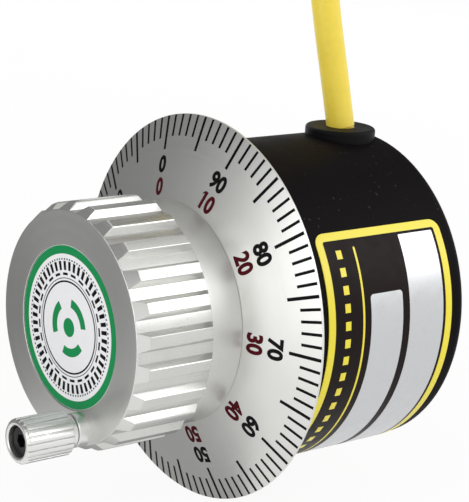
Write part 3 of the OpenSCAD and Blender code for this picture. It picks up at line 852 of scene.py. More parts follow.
class Palette:
    """Materials by name, each made once when it is first asked for."""

    def __init__(self) -> None:
        """Start with nothing made."""
        self._made: dict[str, bpy.types.Material] = {}

    def __getitem__(self, name: str) -> bpy.types.Material:
        """Find a material, or make it.

        Args:
            name: Its name.

        Returns:
            The material.
        """
        if name not in self._made:
            self._made[name] = FINISHES[name].make()
        return self._made[name]


# ---- Geometry Nodes ----------------------------------------------------------------------


class GeometryTree(Tree):
    """A Geometry Nodes tree with named inputs and one mesh as its result."""

    def __init__(self, name: str, inputs: Sequence[tuple[str, str, object]]) -> None:
        """Make the group and its sockets.

        Args:
            name: Name of the tree.
            inputs: Name, socket type and default of each input after the geometry.
        """
        super().__init__(bpy.data.node_groups.new(name, "GeometryNodeTree"))
        face = self.tree.interface
        face.new_socket("Geometry", in_out="INPUT", socket_type="NodeSocketGeometry")
        self.keys: dict[str, str] = {}
        for label, kind, default in inputs:
            socket = face.new_socket(label, in_out="INPUT", socket_type=kind)
            if default is not None:
                socket.default_value = default
            self.keys[label] = socket.identifier
        face.new_socket("Geometry", in_out="OUTPUT", socket_type="NodeSocketGeometry")
        self.source = self.add("NodeGroupInput")
        self.result = self.add("NodeGroupOutput")

    def close(self, geometry: bpy.types.NodeSocket) -> None:
        """End the tree in Realize Instances and Set Material.

        Args:
            geometry: The geometry that the tree gives.
        """
        realize = self.add("GeometryNodeRealizeInstances")
        finish = self.add("GeometryNodeSetMaterial")
        self.link(geometry, realize.inputs["Geometry"])
        self.link(realize.outputs["Geometry"], finish.inputs["Geometry"])
        self.link(self.source.outputs["Finish"], finish.inputs["Material"])
        self.link(finish.outputs["Geometry"], self.result.inputs["Geometry"])

    def run(self, name: str, host: bpy.types.Object, values: dict[str, object],
            angle: float = SHARP_ANGLE) -> bpy.types.Object:
        """Apply the tree to a host object and keep its result as a plain mesh.

        Args:
            name: Name of the new object.
            host: The object that carries the modifier, which is removed.
            values: Input values by name.
            angle: Degrees past which an edge stays sharp.

        Returns:
            A new object at the origin.
        """
        modifier = host.modifiers.new("tree", "NODES")
        modifier.node_group = self.tree
        for label, value in values.items():
            modifier[self.keys[label]] = value
        bpy.context.view_layer.update()
        evaluated = host.evaluated_get(bpy.context.evaluated_depsgraph_get())
        mesh = bpy.data.meshes.new_from_object(evaluated)
        host.modifiers.remove(modifier)
        discard(host)
        shade(mesh, angle)
        return place(name, mesh)


class RingArray(GeometryTree):
    """Repeats one piece round an axis along Y and welds neighbours that meet."""

    def __init__(self) -> None:
        """Build the tree: points on the axis, each with the piece turned one step further."""
        super().__init__("ring_array", (
            ("Piece", "NodeSocketObject", None), ("Copies", "NodeSocketInt", 12),
            ("Step", "NodeSocketFloat", 0.5), ("First", "NodeSocketFloat", 0.0),
            ("Centre", "NodeSocketVector", (0.0, 0.0, 0.0)), ("Weld", "NodeSocketFloat", RING_WELD_GAP),
            ("Finish", "NodeSocketMaterial", None)))
        points = self.add("GeometryNodePoints")
        self.link(self.source.outputs["Copies"], points.inputs["Count"])
        self.link(self.source.outputs["Centre"], points.inputs["Position"])
        index = self.add("GeometryNodeInputIndex")
        angle = self.add("ShaderNodeMath", operation="MULTIPLY_ADD")
        self.link(index.outputs[0], angle.inputs[0])
        self.link(self.source.outputs["Step"], angle.inputs[1])
        self.link(self.source.outputs["First"], angle.inputs[2])
        turn = self.add("ShaderNodeCombineXYZ")
        self.link(angle.outputs[0], turn.inputs["Y"])
        info = self.add("GeometryNodeObjectInfo", transform_space="ORIGINAL")
        self.link(self.source.outputs["Piece"], info.inputs["Object"])
        copies = self.add("GeometryNodeInstanceOnPoints")
        self.link(points.outputs[0], copies.inputs["Points"])
        self.link(info.outputs["Geometry"], copies.inputs["Instance"])
        self.link(turn.outputs[0], copies.inputs["Rotation"])
        solid = self.add("GeometryNodeRealizeInstances")
        weld = self.add("GeometryNodeMergeByDistance")
        self.link(copies.outputs[0], solid.inputs[0])
        self.link(solid.outputs[0], weld.inputs["Geometry"])
        self.link(self.source.outputs["Weld"], weld.inputs["Distance"])
        self.close(weld.outputs[0])

    def make(self, name: str, piece: bmesh.types.BMesh, copies: int, step: float, first: float,
             material: bpy.types.Material, centre: Pair = (0, 0),
             angle: float = SHARP_ANGLE) -> bpy.types.Object:
        """Repeat a piece that is built at the top of the ring.

        Args:
            name: Name of the result.
            piece: The piece, about an axis at the origin.
            copies: How many there are.
            step: Degrees from one to the next, clockwise from the front.
            first: Degrees from the top to the first.
            material: Finish of them all.
            centre: X and Z of the axis.
            angle: Degrees past which an edge stays sharp.

        Returns:
            The ring as one object.
        """
        seed = place(f"{name}_seed", mesh_from(piece, f"{name}_seed", recalculate=False))
        host = place(f"{name}_host", bpy.data.meshes.new(f"{name}_host"))
        ring = self.run(name, host, {
            "Piece": seed, "Copies": copies, "Step": math.radians(step), "First": math.radians(first),
            "Centre": (centre[0], 0.0, centre[1]), "Weld": RING_WELD_GAP, "Finish": material}, angle)
        discard(seed)
        return ring


class Sweep(GeometryTree):
    """Sweeps a round section along a line of points, and notes how far along each ring is."""

    def __init__(self) -> None:
        """Build the tree: mesh line to curve, length as an attribute, section, caps."""
        super().__init__("sweep", (
            ("Radius", "NodeSocketFloat", 0.003), ("Sides", "NodeSocketInt", 20),
            ("Finish", "NodeSocketMaterial", None)))
        curve = self.add("GeometryNodeMeshToCurve")
        self.link(self.source.outputs["Geometry"], curve.inputs["Mesh"])
        run = self.add("GeometryNodeSplineParameter")
        note = self.add("GeometryNodeStoreNamedAttribute", data_type="FLOAT", domain="POINT")
        note.inputs["Name"].default_value = "run"
        self.link(curve.outputs[0], note.inputs["Geometry"])
        self.link(run.outputs["Length"], note.inputs["Value"])
        section = self.add("GeometryNodeCurvePrimitiveCircle")
        self.link(self.source.outputs["Sides"], section.inputs["Resolution"])
        self.link(self.source.outputs["Radius"], section.inputs["Radius"])
        tube = self.add("GeometryNodeCurveToMesh")
        self.link(note.outputs[0], tube.inputs["Curve"])
        self.link(section.outputs["Curve"], tube.inputs["Profile Curve"])
        tube.inputs["Fill Caps"].default_value = True
        self.close(tube.outputs[0])

    def make(self, name: str, path: Sequence[Vector], radius: float, sides: int,
             material: bpy.types.Material) -> bpy.types.Object:
        """Sweep a tube along a path.

        Args:
            name: Name of the result.
            path: The points that the middle of the tube follows.
            radius: Radius of the tube.
            sides: Points round it.
            material: Its finish.

        Returns:
            The tube as one object.
        """
        line = bpy.data.meshes.new(f"{name}_line")
        line.from_pydata([tuple(p) for p in path], [(i, i + 1) for i in range(len(path) - 1)], [])
        return self.run(name, place(f"{name}_line", line),
                        {"Radius": radius, "Sides": sides, "Finish": material})


# ---- Camera and studio -------------------------------------------------------------------


@dataclass
class Studio:
    """Camera, soft lights, pale floor and the cards that metal reflects."""

    eye: Vector = field(default_factory=lambda: Vector((0.28588, -0.22869, 0.10703)))
    right: Vector = field(default_factory=lambda: Vector((0.61776, 0.78401, 0.06076)))
    up: Vector = field(default_factory=lambda: Vector((-0.23492, 0.11026, 0.96574)))
    back: Vector = field(default_factory=lambda: Vector((0.75046, -0.61087, 0.25229)))
    lens: float = 131.16
    floor_gap: float = 0.02 * MM
    front_level: float = 0.75
    rear_level: float = 0.85
    floor_share: float = 0.93
    floor_reach: float = 3.0
    lamps: tuple[tuple[str, Point, Pair, float, bool], ...] = (
        ("right_panel", (0.6, 0.55, 0.46), (0.55, 0.55), 2.3, True),
        ("left_panel", (-0.6, 0.55, 0.38), (0.45, 0.45), 2.4, False),
        ("front_panel", (0.1, -0.85, 0.2), (0.75, 0.5), 1.65, True))

    def build(self) -> None:
        """Make the camera, the world, the floor and the lights."""
        scene = bpy.context.scene
        scene.view_settings.view_transform = "Standard"
        self.camera(scene)
        self.world(scene)
        self.floor()
        for lamp in self.lamps:
            self.lamp(*lamp)
        self.cards()

    def cards(self) -> None:
        """Stand the four cards: left of the object, behind it, above it, and under the dial a grey sheet that
        paints the dial's shadow on the floor into what the metal reflects.
        """
        foot = CAD_BOUNDS[0][2] + 5 * self.floor_gap
        self.card("side_card", 0.22, (
            (-0.045, -0.36, foot), (-0.045, 0, foot), (-0.09, 0, 0.3), (-0.09, -0.36, 0.3)))
        self.card("rear_card", 0.28, (
            (-0.4, 0.25, 0.08), (0, 0.25, 0.08), (0, 0.25, 0.55), (-0.4, 0.25, 0.55)))
        self.card("top_card", 0.22, (
            (-0.3, -0.6, 0.45), (0.45, -0.6, 0.45), (0.45, 0, 0.45), (-0.3, 0, 0.45)))
        # painted shadow: a grey sheet on the floor under the dial, which the metal reflects in place of the
        # floor's shade there
        self.card("low_card", 0.4, (
            (-0.045, -0.05, foot), (0.01, -0.045, foot), (0.02, -0.002, foot), (-0.045, -0.002, foot)))

    def camera(self, scene: bpy.types.Scene) -> None:
        """Make the camera and look through it.

        Args:
            scene: The scene that it looks at.
        """
        data = bpy.data.cameras.new("view")
        data.sensor_width, data.lens = 36, self.lens
        data.clip_start, data.clip_end = 0.01, 20
        camera = bpy.data.objects.new("view", data)
        turn = Matrix((self.right, self.up, self.back)).transposed().to_4x4()
        camera.matrix_world = Matrix.Translation(self.eye) @ turn
        scene.collection.objects.link(camera)
        scene.camera = camera

    def world(self, scene: bpy.types.Scene) -> None:
        """Make the world: white to the camera; as light, dim in front of the object and pale behind it.

        Args:
            scene: The scene that it is for.
        """
        world = bpy.data.worlds.new("studio")
        tree = tree_of(world)
        mix = tree.add("ShaderNodeMixShader")
        dim, white = (tree.add("ShaderNodeBackground") for _ in range(2))
        for slot, background in ((1, dim), (2, white)):
            background.inputs["Color"].default_value = (1, 1, 1, 1)
            tree.link(background.outputs[0], mix.inputs[slot])
        split, level = tree.add("ShaderNodeSeparateXYZ"), tree.add("ShaderNodeMapRange")
        limits = {"From Min": -0.5, "From Max": 0.5, "To Min": self.front_level, "To Max": self.rear_level}
        for key, number in limits.items():
            level.inputs[key].default_value = number
        tree.link(tree.add("ShaderNodeTexCoord").outputs["Generated"], split.inputs[0])
        tree.link(split.outputs["Y"], level.inputs["Value"])
        tree.link(level.outputs[0], dim.inputs["Strength"])
        tree.link(tree.seen(), mix.inputs[0])
        tree.link(mix.outputs[0], tree.add("ShaderNodeOutputWorld").inputs["Surface"])
        scene.world = world

    def floor(self) -> None:
        """Lay a pale floor under the object's lowest point, faded to the white behind it."""
        low = CAD_BOUNDS[0][2] - self.floor_gap
        build = bmesh.new()
        for x, y in ((-1, -1), (1, -1), (1, 1), (-1, 1)):
            build.verts.new((x * self.floor_reach, y * self.floor_reach, low))
        build.faces.new(build.verts)
        mesh = mesh_from(build, "floor", recalculate=False)
        material = bpy.data.materials.new("floor")
        tree = tree_of(material)
        share = tree.add("ShaderNodeMath", operation="MULTIPLY")
        share.inputs[1].default_value = self.floor_share
        paint, mix = tree.add("ShaderNodeBsdfDiffuse"), tree.add("ShaderNodeMixShader")
        paint.inputs["Color"].default_value = (0.8, 0.8, 0.8, 1)
        tree.link(tree.seen(), share.inputs[0])
        tree.link(share.outputs[0], mix.inputs[0])
        tree.link(paint.outputs[0], mix.inputs[1])
        tree.link(tree.glow().outputs[0], mix.inputs[2])
        tree.link(mix.outputs[0], tree.add("ShaderNodeOutputMaterial").inputs["Surface"])
        place("floor", mesh, material)

    def card(self, name: str, level: float, corners: Sequence[Point]) -> None:
        """Stand a grey card beside the object, which only its metal reflects.

        Args:
            name: Name of the card.
            level: Brightness of the card, where 1 is white.
            corners: Its four corners, in order.
        """
        mesh = bpy.data.meshes.new(name)
        mesh.from_pydata(corners, [], [(0, 1, 2, 3)])
        material = bpy.data.materials.new(name)
        tree = tree_of(material)
        tree.link(tree.glow(level).outputs[0], tree.add("ShaderNodeOutputMaterial").inputs["Surface"])
        card = place(name, mesh, material)
        card.visible_camera = card.visible_diffuse = card.visible_shadow = card.visible_transmission = False

    def lamp(self, name: str, where: Point, size: Pair, glow: float, glossy: bool) -> None:
        """Hang a soft panel that faces the object.

        Args:
            name: Name of the lamp.
            where: Its middle.
            size: Its width and height.
            glow: Brightness of its face, where 1 is white.
            glossy: Whether metal shows it.
        """
        data = bpy.data.lights.new(name, "AREA")
        data.shape, data.size, data.size_y = "RECTANGLE", *size
        data.energy = glow * math.pi * size[0] * size[1]
        lamp = bpy.data.objects.new(name, data)
        lamp.visible_glossy = glossy
        lamp.location = where
        lamp.rotation_euler = (-Vector(where)).to_track_quat("-Z", "Y").to_euler()
        bpy.context.scene.collection.objects.link(lamp)


# ---- Cable -------------------------------------------------------------------------------


@dataclass
class Cable:
    """The free cable: a lead that arches over and down, a coil, and a cut end with five cores."""

    radius: float = 3.0
    lead: tuple[Point, ...] = (
        (0, 31, 35.5), (0, 31, 35.5), (0, 31, 35.5), (-1.5, 29.5, 46.5), (-2.5, 27.5, 57),
        (-4, 26, 69), (-6.5, 25.5, 81), (-12.5, 29, 91.5), (-21, 35.5, 98), (-29, 42.5, 99.5),
        (-36.5, 49, 97.5), (-43.5, 55, 91.5), (-48, 59, 83), (-49, 63.5, 72), (-45.5, 64, 57.5),
        (-44, 66, 43.5), (-42.5, 68, 30), (-42, 71, 17), (-44, 75.5, 4.5), (-48, 80.5, -5.5),
        (-55, 86, -12), (-64.5, 89.5, -16.5), (-76, 90, -17.7), (-76, 90, -17.7), (-76, 90, -17.7))
    coil_centre: Pair = (-76, 54)
    coil_radius: float = 36
    coil_bottom: float = -36.35
    pitch: float = 6.0
    coil_degrees: float = 1100
    settle_degrees: float = 60
    end_length: float = 45
    core_length: float = 25
    core_circle: float = 1.4
    core_radius: float = 0.5
    core_spread: float = 0.1
    tip_length: float = 5
    tip_radius: float = 0.3
    lead_steps: int = 8
    coil_steps: int = 111
    end_steps: int = 9
    core_steps: int = 12
    sheath_sides: int = 24
    core_sides: int = 12
    tip_sides: int = 10

    def lead_line(self) -> list[Vector]:
        """Run a smooth curve past the lead's control points.

        Returns:
            Its points, in millimetres.
        """
        points = [Vector(p) for p in self.lead]
        line = []
        for i in range(len(points) - 3):
            a, b, c, d = points[i:i + 4]
            for k in range(self.lead_steps):
                t = k / self.lead_steps
                line.append((a * (1 - t) ** 3 + b * (3 * t ** 3 - 6 * t ** 2 + 4)
                             + c * (-3 * t ** 3 + 3 * t ** 2 + 3 * t + 1) + d * t ** 3) / 6)
        return line

    def coil_line(self) -> list[Vector]:
        """Run round the coil from its top turn down.

        Returns:
            Its points, in millimetres.
        """
        top = self.coil_bottom + self.pitch * self.coil_degrees / 360
        drop = self.lead[-1][2] - top
        line = []
        for angle in spread(0, self.coil_degrees, self.coil_steps):
            a = math.radians(90 + angle)
            line.append(Vector((
                self.coil_centre[0] + self.coil_radius * math.cos(a),
                self.coil_centre[1] + self.coil_radius * math.sin(a),
                top - self.pitch * angle / 360 + drop * (1 - smooth_step(angle / self.settle_degrees)))))
        return line

    def heading(self) -> Vector:
        """Direction in which the free end leaves the coil."""
        a = math.radians(90 + self.coil_degrees)
        return Vector((-math.sin(a), math.cos(a), 0))

    def build(self, palette: Palette, sweep: Sweep) -> None:
        """Args:
            palette: The finishes.
            sweep: The tree that sweeps tubes.
        """
        coil = self.coil_line()
        ahead = self.heading()
        steps = self.end_steps
        tail = [coil[-1] + ahead * s for s in spread(self.end_length / steps, self.end_length, steps)]
        path = [p * MM for p in self.lead_line() + coil + tail]
        run = sweep.make("cable_run", path, self.radius * MM, self.sheath_sides, palette["cable_sheath"])
        cores = self.cores(tail[-1], ahead, palette, sweep)
        ride(run, Body.HOUSING, ("cable_lead", "cable_coil", "cable_end"))
        ride(cores, Body.HOUSING, ("bare_wires",))
        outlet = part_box("cable_stub")[1].z
        total = sum((b - a).length for a, b in zip(path, path[1:])) + self.core_length * MM
        LOG.info("cable length %.3f m, outlet height %.4f m", total, outlet)

    def cores(self, start: Vector, ahead: Vector, palette: Palette, sweep: Sweep) -> bpy.types.Object:
        """Make the five cores that stick out of the sheath, with stripped tips.

        Args:
            start: Middle of the sheath's cut end, in millimetres.
            ahead: Direction of the cable there.
            palette: The finishes.
            sweep: The tree that sweeps tubes.

        Returns:
            One object with all the cores.
        """
        side = ahead.cross(Vector((0, 0, 1)))
        names = ("core_insulation", "core_brown", "core_green", "core_yellow", "core_grey")
        made = []
        for i, name in enumerate(names):
            a = math.radians(360 / len(names) * i)
            off = (side * math.cos(a) + Vector((0, 0, 1)) * math.sin(a)) * self.core_circle
            line = []
            for s in spread(-1, self.core_length - self.tip_length, self.core_steps):
                wave = math.cos(2 * a + s / 5)
                open_out = 1 + self.core_spread * smooth_step(s / self.core_length) * wave
                line.append((start + ahead * s + off * open_out) * MM)
            made.append(sweep.make(f"core_{i}", line, self.core_radius * MM, self.core_sides,
                                   palette[name]))
            bare = [line[-1] + ahead * MM * t for t in (-0.5, 1, 2.5, self.tip_length - 0.1)]
            made.append(sweep.make(f"tip_{i}", bare, self.tip_radius * MM, self.tip_sides,
                                   palette["copper_strand"]))
        return joined("cable_cores", made)


# ---- Wheel -------------------------------------------------------------------------------


def fixed(r: float, y: float) -> Station:
    """Station that is the same at every angle, from millimetres."""
    return lambda angle: (r * MM, y * MM)


def both_sides(half: Sequence[float], pitch: float) -> list[float]:
    """Angles on both sides of a slice's middle, from shares of its pitch that start at 0."""
    return [-u * pitch for u in reversed(half)] + [u * pitch for u in half[1:]]


def slice_of(stations: Sequence[Station], angles: Sequence[float], closed: bool) -> bmesh.types.BMesh:
    """Build one slice of a ribbed turned piece.

    Args:
        stations: For each station along the profile, its (radius, y) at a given angle.
        angles: The slice's angles in degrees, from one side to the other.
        closed: Whether the profile joins up with its own start.

    Returns:
        The slice as an open sheet, whose two sides meet their neighbours.
    """
    build = bmesh.new()
    rows = []
    for station in stations:
        row = []
        for angle in angles:
            r, y = station(angle)
            row.append(build.verts.new(polar(r, angle, y)))
        rows.append(row)
    pairs = list(zip(rows, rows[1:]))
    if closed:
        pairs.append((rows[-1], rows[0]))
    for low, high in pairs:
        for i in range(len(angles) - 1):
            build.faces.new((low[i], low[i + 1], high[i + 1], high[i]))
    bmesh.ops.remove_doubles(build, verts=build.verts, dist=WELD_GAP)
    empty = [f for f in build.faces if f.calc_area() < WELD_GAP ** 2]
    if empty:
        bmesh.ops.delete(build, geom=empty, context="FACES_ONLY")
    return build


FACING = -0.4  # a normal whose Y is below this looks at the operator


@dataclass
class Knob:
    """Castellated knob: teeth cut back by a cone at the face, a smooth hub and a recess for the label."""

    teeth: int = 24
    tip: float = 24.8
    root: float = 23.4
    hub: float = 23.0
    boss: float = 8.0
    bore: float = 4.1
    face: float = -36.8
    floor: float = -36.4
    recess: float = 16.5
    teeth_end: float = -18.8
    seat: float = -11.3
    boss_end: float = -7.0
    bevel: float = 2.3
    top_share: float = 0.35
    foot_share: float = 0.63
    phase: float = 10.0
    edge: float = 0.16
    soft: float = 0.016
    soft_depth: float = 0.035
    end_slope: float = 0.75
    screw_pocket: float = 4.0
    face_loops: Pair = (18.5, 21.0)
    floor_loop: float = 8.0
    seat_loop: float = 15.0
    tooth_loops: Pair = (-29.8, -24.0)
    hub_loop: float = -15.0
    hub_margin: float = 0.05
    bevel_margin: float = 0.3
    sharp: float = 22.0

    def tooth(self, angle: float) -> float:
        """Follow the tooth's outline, with its rounded corners.

        Args:
            angle: Degrees from the tooth's middle.

        Returns:
            The radius there.
        """
        pitch = 360 / self.teeth
        u = abs(angle) / pitch
        top, foot = self.top_share / 2, self.foot_share / 2
        if u <= top:
            rise = 1.0
        elif u >= foot:
            rise = 0.0
        else:
            rise = (foot - u) / (foot - top)
        near = abs(u - top) / self.soft
        return self.root + (self.tip - self.root) * (rise - self.soft_depth * max(0.0, 1 - near))

    def bevel_end(self, r: float, share: float = 1.0) -> float:
        """Place along the axis where the bevel meets a radius, or a share of the way there."""
        rise = share * (r - self.root) / (self.tip - self.root)
        return self.face + self.edge + (self.bevel - self.edge) * rise

    def on_bevel(self, share: float, angle: float) -> Pair:
        """Point of the profile part of the way up the bevel.

        Args:
            share: How far up it is, from 0 to 1.
            angle: Degrees from the tooth's middle.

        Returns:
            The radius and the place along the axis.
        """
        r = self.tooth(angle)
        return (self.root + (r - self.root) * share) * MM, self.bevel_end(r, share) * MM

    def behind_bevel(self, gap: float, angle: float) -> Pair:
        """Point of the tooth's outline at a distance behind its bevel."""
        return self.tooth(angle) * MM, (self.bevel_end(self.tooth(angle)) + gap) * MM

    def on_tooth(self, y: float, angle: float) -> Pair:
        """Point of the tooth's outline at a place along the axis."""
        return self.tooth(angle) * MM, y * MM

    def at_end(self, inset: float, before: float, angle: float) -> Pair:
        """Point on the cone that cuts the teeth back at the hub.

        Args:
            inset: How far inside the outline it is.
            before: How far in front of the cone it is.
            angle: Degrees from the tooth's middle.

        Returns:
            The radius and the place along the axis.
        """
        r = self.tooth(angle)
        return (r - inset) * MM, (self.teeth_end - (r - self.root) * self.end_slope - before) * MM

    def profile(self) -> list[Station]:
        """List the stations of a slice, from the middle of the face round to the screw's pocket.

        Returns:
            The stations.
        """
        e, root, hub, boss = self.edge, self.root, self.hub, self.boss
        front, teeth_end, seat = self.face, self.teeth_end, self.seat
        pocket = self.boss_end - self.screw_pocket
        face = [
            fixed(0, self.floor), fixed(self.floor_loop, self.floor), fixed(self.recess - 0.1, self.floor),
            fixed(self.recess, self.floor - 0.03), fixed(self.recess, front + 0.06),
            fixed(self.recess + 0.06, front), *(fixed(r, front) for r in self.face_loops),
            fixed(root - 0.3, front), fixed(root - e, front + 0.01), fixed(root - 0.03, front + e * 0.5)]
        end_round = ((0.0, 0.12), (0.06, 0.03), (0.16, 0.0))
        teeth = [
            *(partial(self.on_bevel, share) for share in (0.0, 0.06, 0.5, 0.94)),
            *(partial(self.behind_bevel, gap) for gap in (0.12, 0.5)),
            *(partial(self.on_tooth, y) for y in self.tooth_loops),
            *(partial(self.at_end, inset, before) for inset, before in end_round),
            fixed(root - 0.12, teeth_end + 0.01)]
        rear = [
            fixed(hub + 0.06, teeth_end + 0.03), fixed(hub, teeth_end + 0.12), fixed(hub, self.hub_loop),
            fixed(hub, seat - 0.2), fixed(hub - 0.15, seat), fixed(self.seat_loop, seat),
            fixed(boss + 0.1, seat), fixed(boss, seat + 0.1), fixed(boss, self.boss_end - 0.3),
            fixed(boss - 0.3, self.boss_end), fixed(self.bore, self.boss_end),
            fixed(self.bore, pocket), fixed(0, pocket)]
        return face + teeth + rear

    def build(self, zero: float, palette: Palette, ring: RingArray) -> None:
        """Make the knob from slices, one for each tooth.

        Args:
            zero: Angle of the wheel's zero mark.
            palette: The finishes.
            ring: The tree that repeats a slice.
        """
        pitch = 360 / self.teeth
        top, foot, soft = self.top_share / 2, self.foot_share / 2, self.soft
        half = [0, top * 0.5, top - 0.03, top - soft, top - 0.004, top + 0.004, top + soft, top + 0.03,
                (top + foot) / 2, foot - 0.02, foot, foot + 0.02, 0.43, 0.5]
        knob = ring.make("knob_turned", slice_of(self.profile(), both_sides(half, pitch), closed=False),
                         self.teeth, pitch, zero + self.phase, palette["satin_aluminium"], angle=self.sharp)
        self.face_finish(knob, palette)
        ride(knob, Body.WHEEL, ("knob",))

    def face_finish(self, knob: bpy.types.Object, palette: Palette) -> None:
        """Give the face with its bevel, and the hub, their turned finish.

        Args:
            knob: The knob's object.
            palette: The finishes.
        """
        mesh = knob.data
        mesh.materials.append(palette["dial_aluminium"])
        mesh.materials.append(palette["hub_aluminium"])
        flat, turned = len(mesh.materials) - 2, len(mesh.materials) - 1
        bevel_end = (self.face + self.bevel + self.bevel_margin) * MM
        for face in mesh.polygons:
            middle = face.center
            out = math.hypot(middle.x, middle.z) / MM
            if middle.y > self.teeth_end * MM and out < self.hub + self.hub_margin:
                face.material_index = turned
            elif face.normal.y < FACING and middle.y < bevel_end:
                face.material_index = flat


@dataclass
class FaceLabel:
    """Round printed label on the knob: green rim, white field, ring of bars and a plain motif."""

    radius: float = 16.4
    back: float = -36.4
    front: float = -36.6
    edge: float = 0.08
    print_back: float = -36.56
    print_front: float = -36.612
    margin: float = 0.1
    bars: int = 48
    arcs: int = 3
    rim: float = 14.65
    line: Pair = (9.0, 9.35)
    fine_line: Pair = (9.75, 9.9)
    dot: float = 1.9
    bar_ring: Pair = (11.4, 13.2)
    tick_ring: Pair = (13.4, 13.75)
    dash_ring: Pair = (10.4, 10.9)
    arc_ring: Pair = (4.2, 5.9)
    bar_share: float = 0.5
    tick_share: float = 0.22
    dash_share: float = 1.2
    arc_sweep: float = 74
    arc_step: float = 3.0
    segments: int = 128

    def section(self, inner: float, outer: float) -> list[Pair]:
        """Corners of the print's section between two radii, in metres."""
        back, front = self.print_back * MM, self.print_front * MM
        return [(inner * MM, back), (outer * MM, back), (outer * MM, front), (inner * MM, front)]

    def disc(self, name: str, radii: Pair, material: bpy.types.Material) -> bpy.types.Object:
        """Print a flat ring or disc.

        Args:
            name: Name of the piece.
            radii: Inner radius, or 0 for a disc, and outer radius.
            material: Its finish.

        Returns:
            The ring.
        """
        return place(name, mesh_from(lathe(self.section(*radii), self.segments), name), material)

    def arc(self, radii: Pair, sweep: float) -> bmesh.types.BMesh:
        """Build one arc of print, centred on the top, with square ends.

        Args:
            radii: Its inner and outer radius.
            sweep: Degrees from end to end.

        Returns:
            The arc as a thin closed plate.
        """
        count = max(2, int(sweep / self.arc_step) + 1)
        return bar([polar(r, angle, y) for r, y in self.section(*radii)]
                   for angle in spread(-sweep / 2, sweep / 2, count))

    def build(self, zero: float, palette: Palette, ring: RingArray) -> None:
        """Make the label's film and its print.

        Args:
            zero: Angle of the wheel's zero mark.
            palette: The finishes.
            ring: The tree that repeats bars and arcs.
        """
        corners = [(0, self.back), (self.radius, self.back), (self.radius, self.front), (0, self.front)]
        outline = rounded([(r * MM, y * MM) for r, y in corners], self.edge * MM, 3)
        mesh = mesh_from(lathe(outline, self.segments), "label_film")
        film = place("label_film", mesh, palette["film_white"])
        ink, green = palette["ink_black"], palette["face_print"]
        pitch = 360 / self.bars
        rows = (
            ("label_bars", self.bar_ring, self.bars, pitch * self.bar_share, zero, ink),
            ("label_ticks", self.tick_ring, 2 * self.bars, pitch * self.tick_share, zero, ink),
            ("label_dashes", self.dash_ring, self.bars // 2, pitch * self.dash_share, zero + pitch, ink),
            ("label_arcs", self.arc_ring, self.arcs, self.arc_sweep, zero + 180 / self.arcs, green))
        print_pieces = [
            self.disc("label_rim", (self.rim, self.radius - self.margin), green),
            self.disc("label_line", self.line, ink),
            self.disc("label_line_fine", self.fine_line, ink),
            self.disc("label_dot", (0, self.dot), green)]
        print_pieces += [ring.make(name, self.arc(radii, sweep), copies, 360 / copies, first, material)
                         for name, radii, copies, sweep, first, material in rows]
        label = joined("face_label_print", [film] + print_pieces)
        ride(label, Body.WHEEL, ("face_label",))


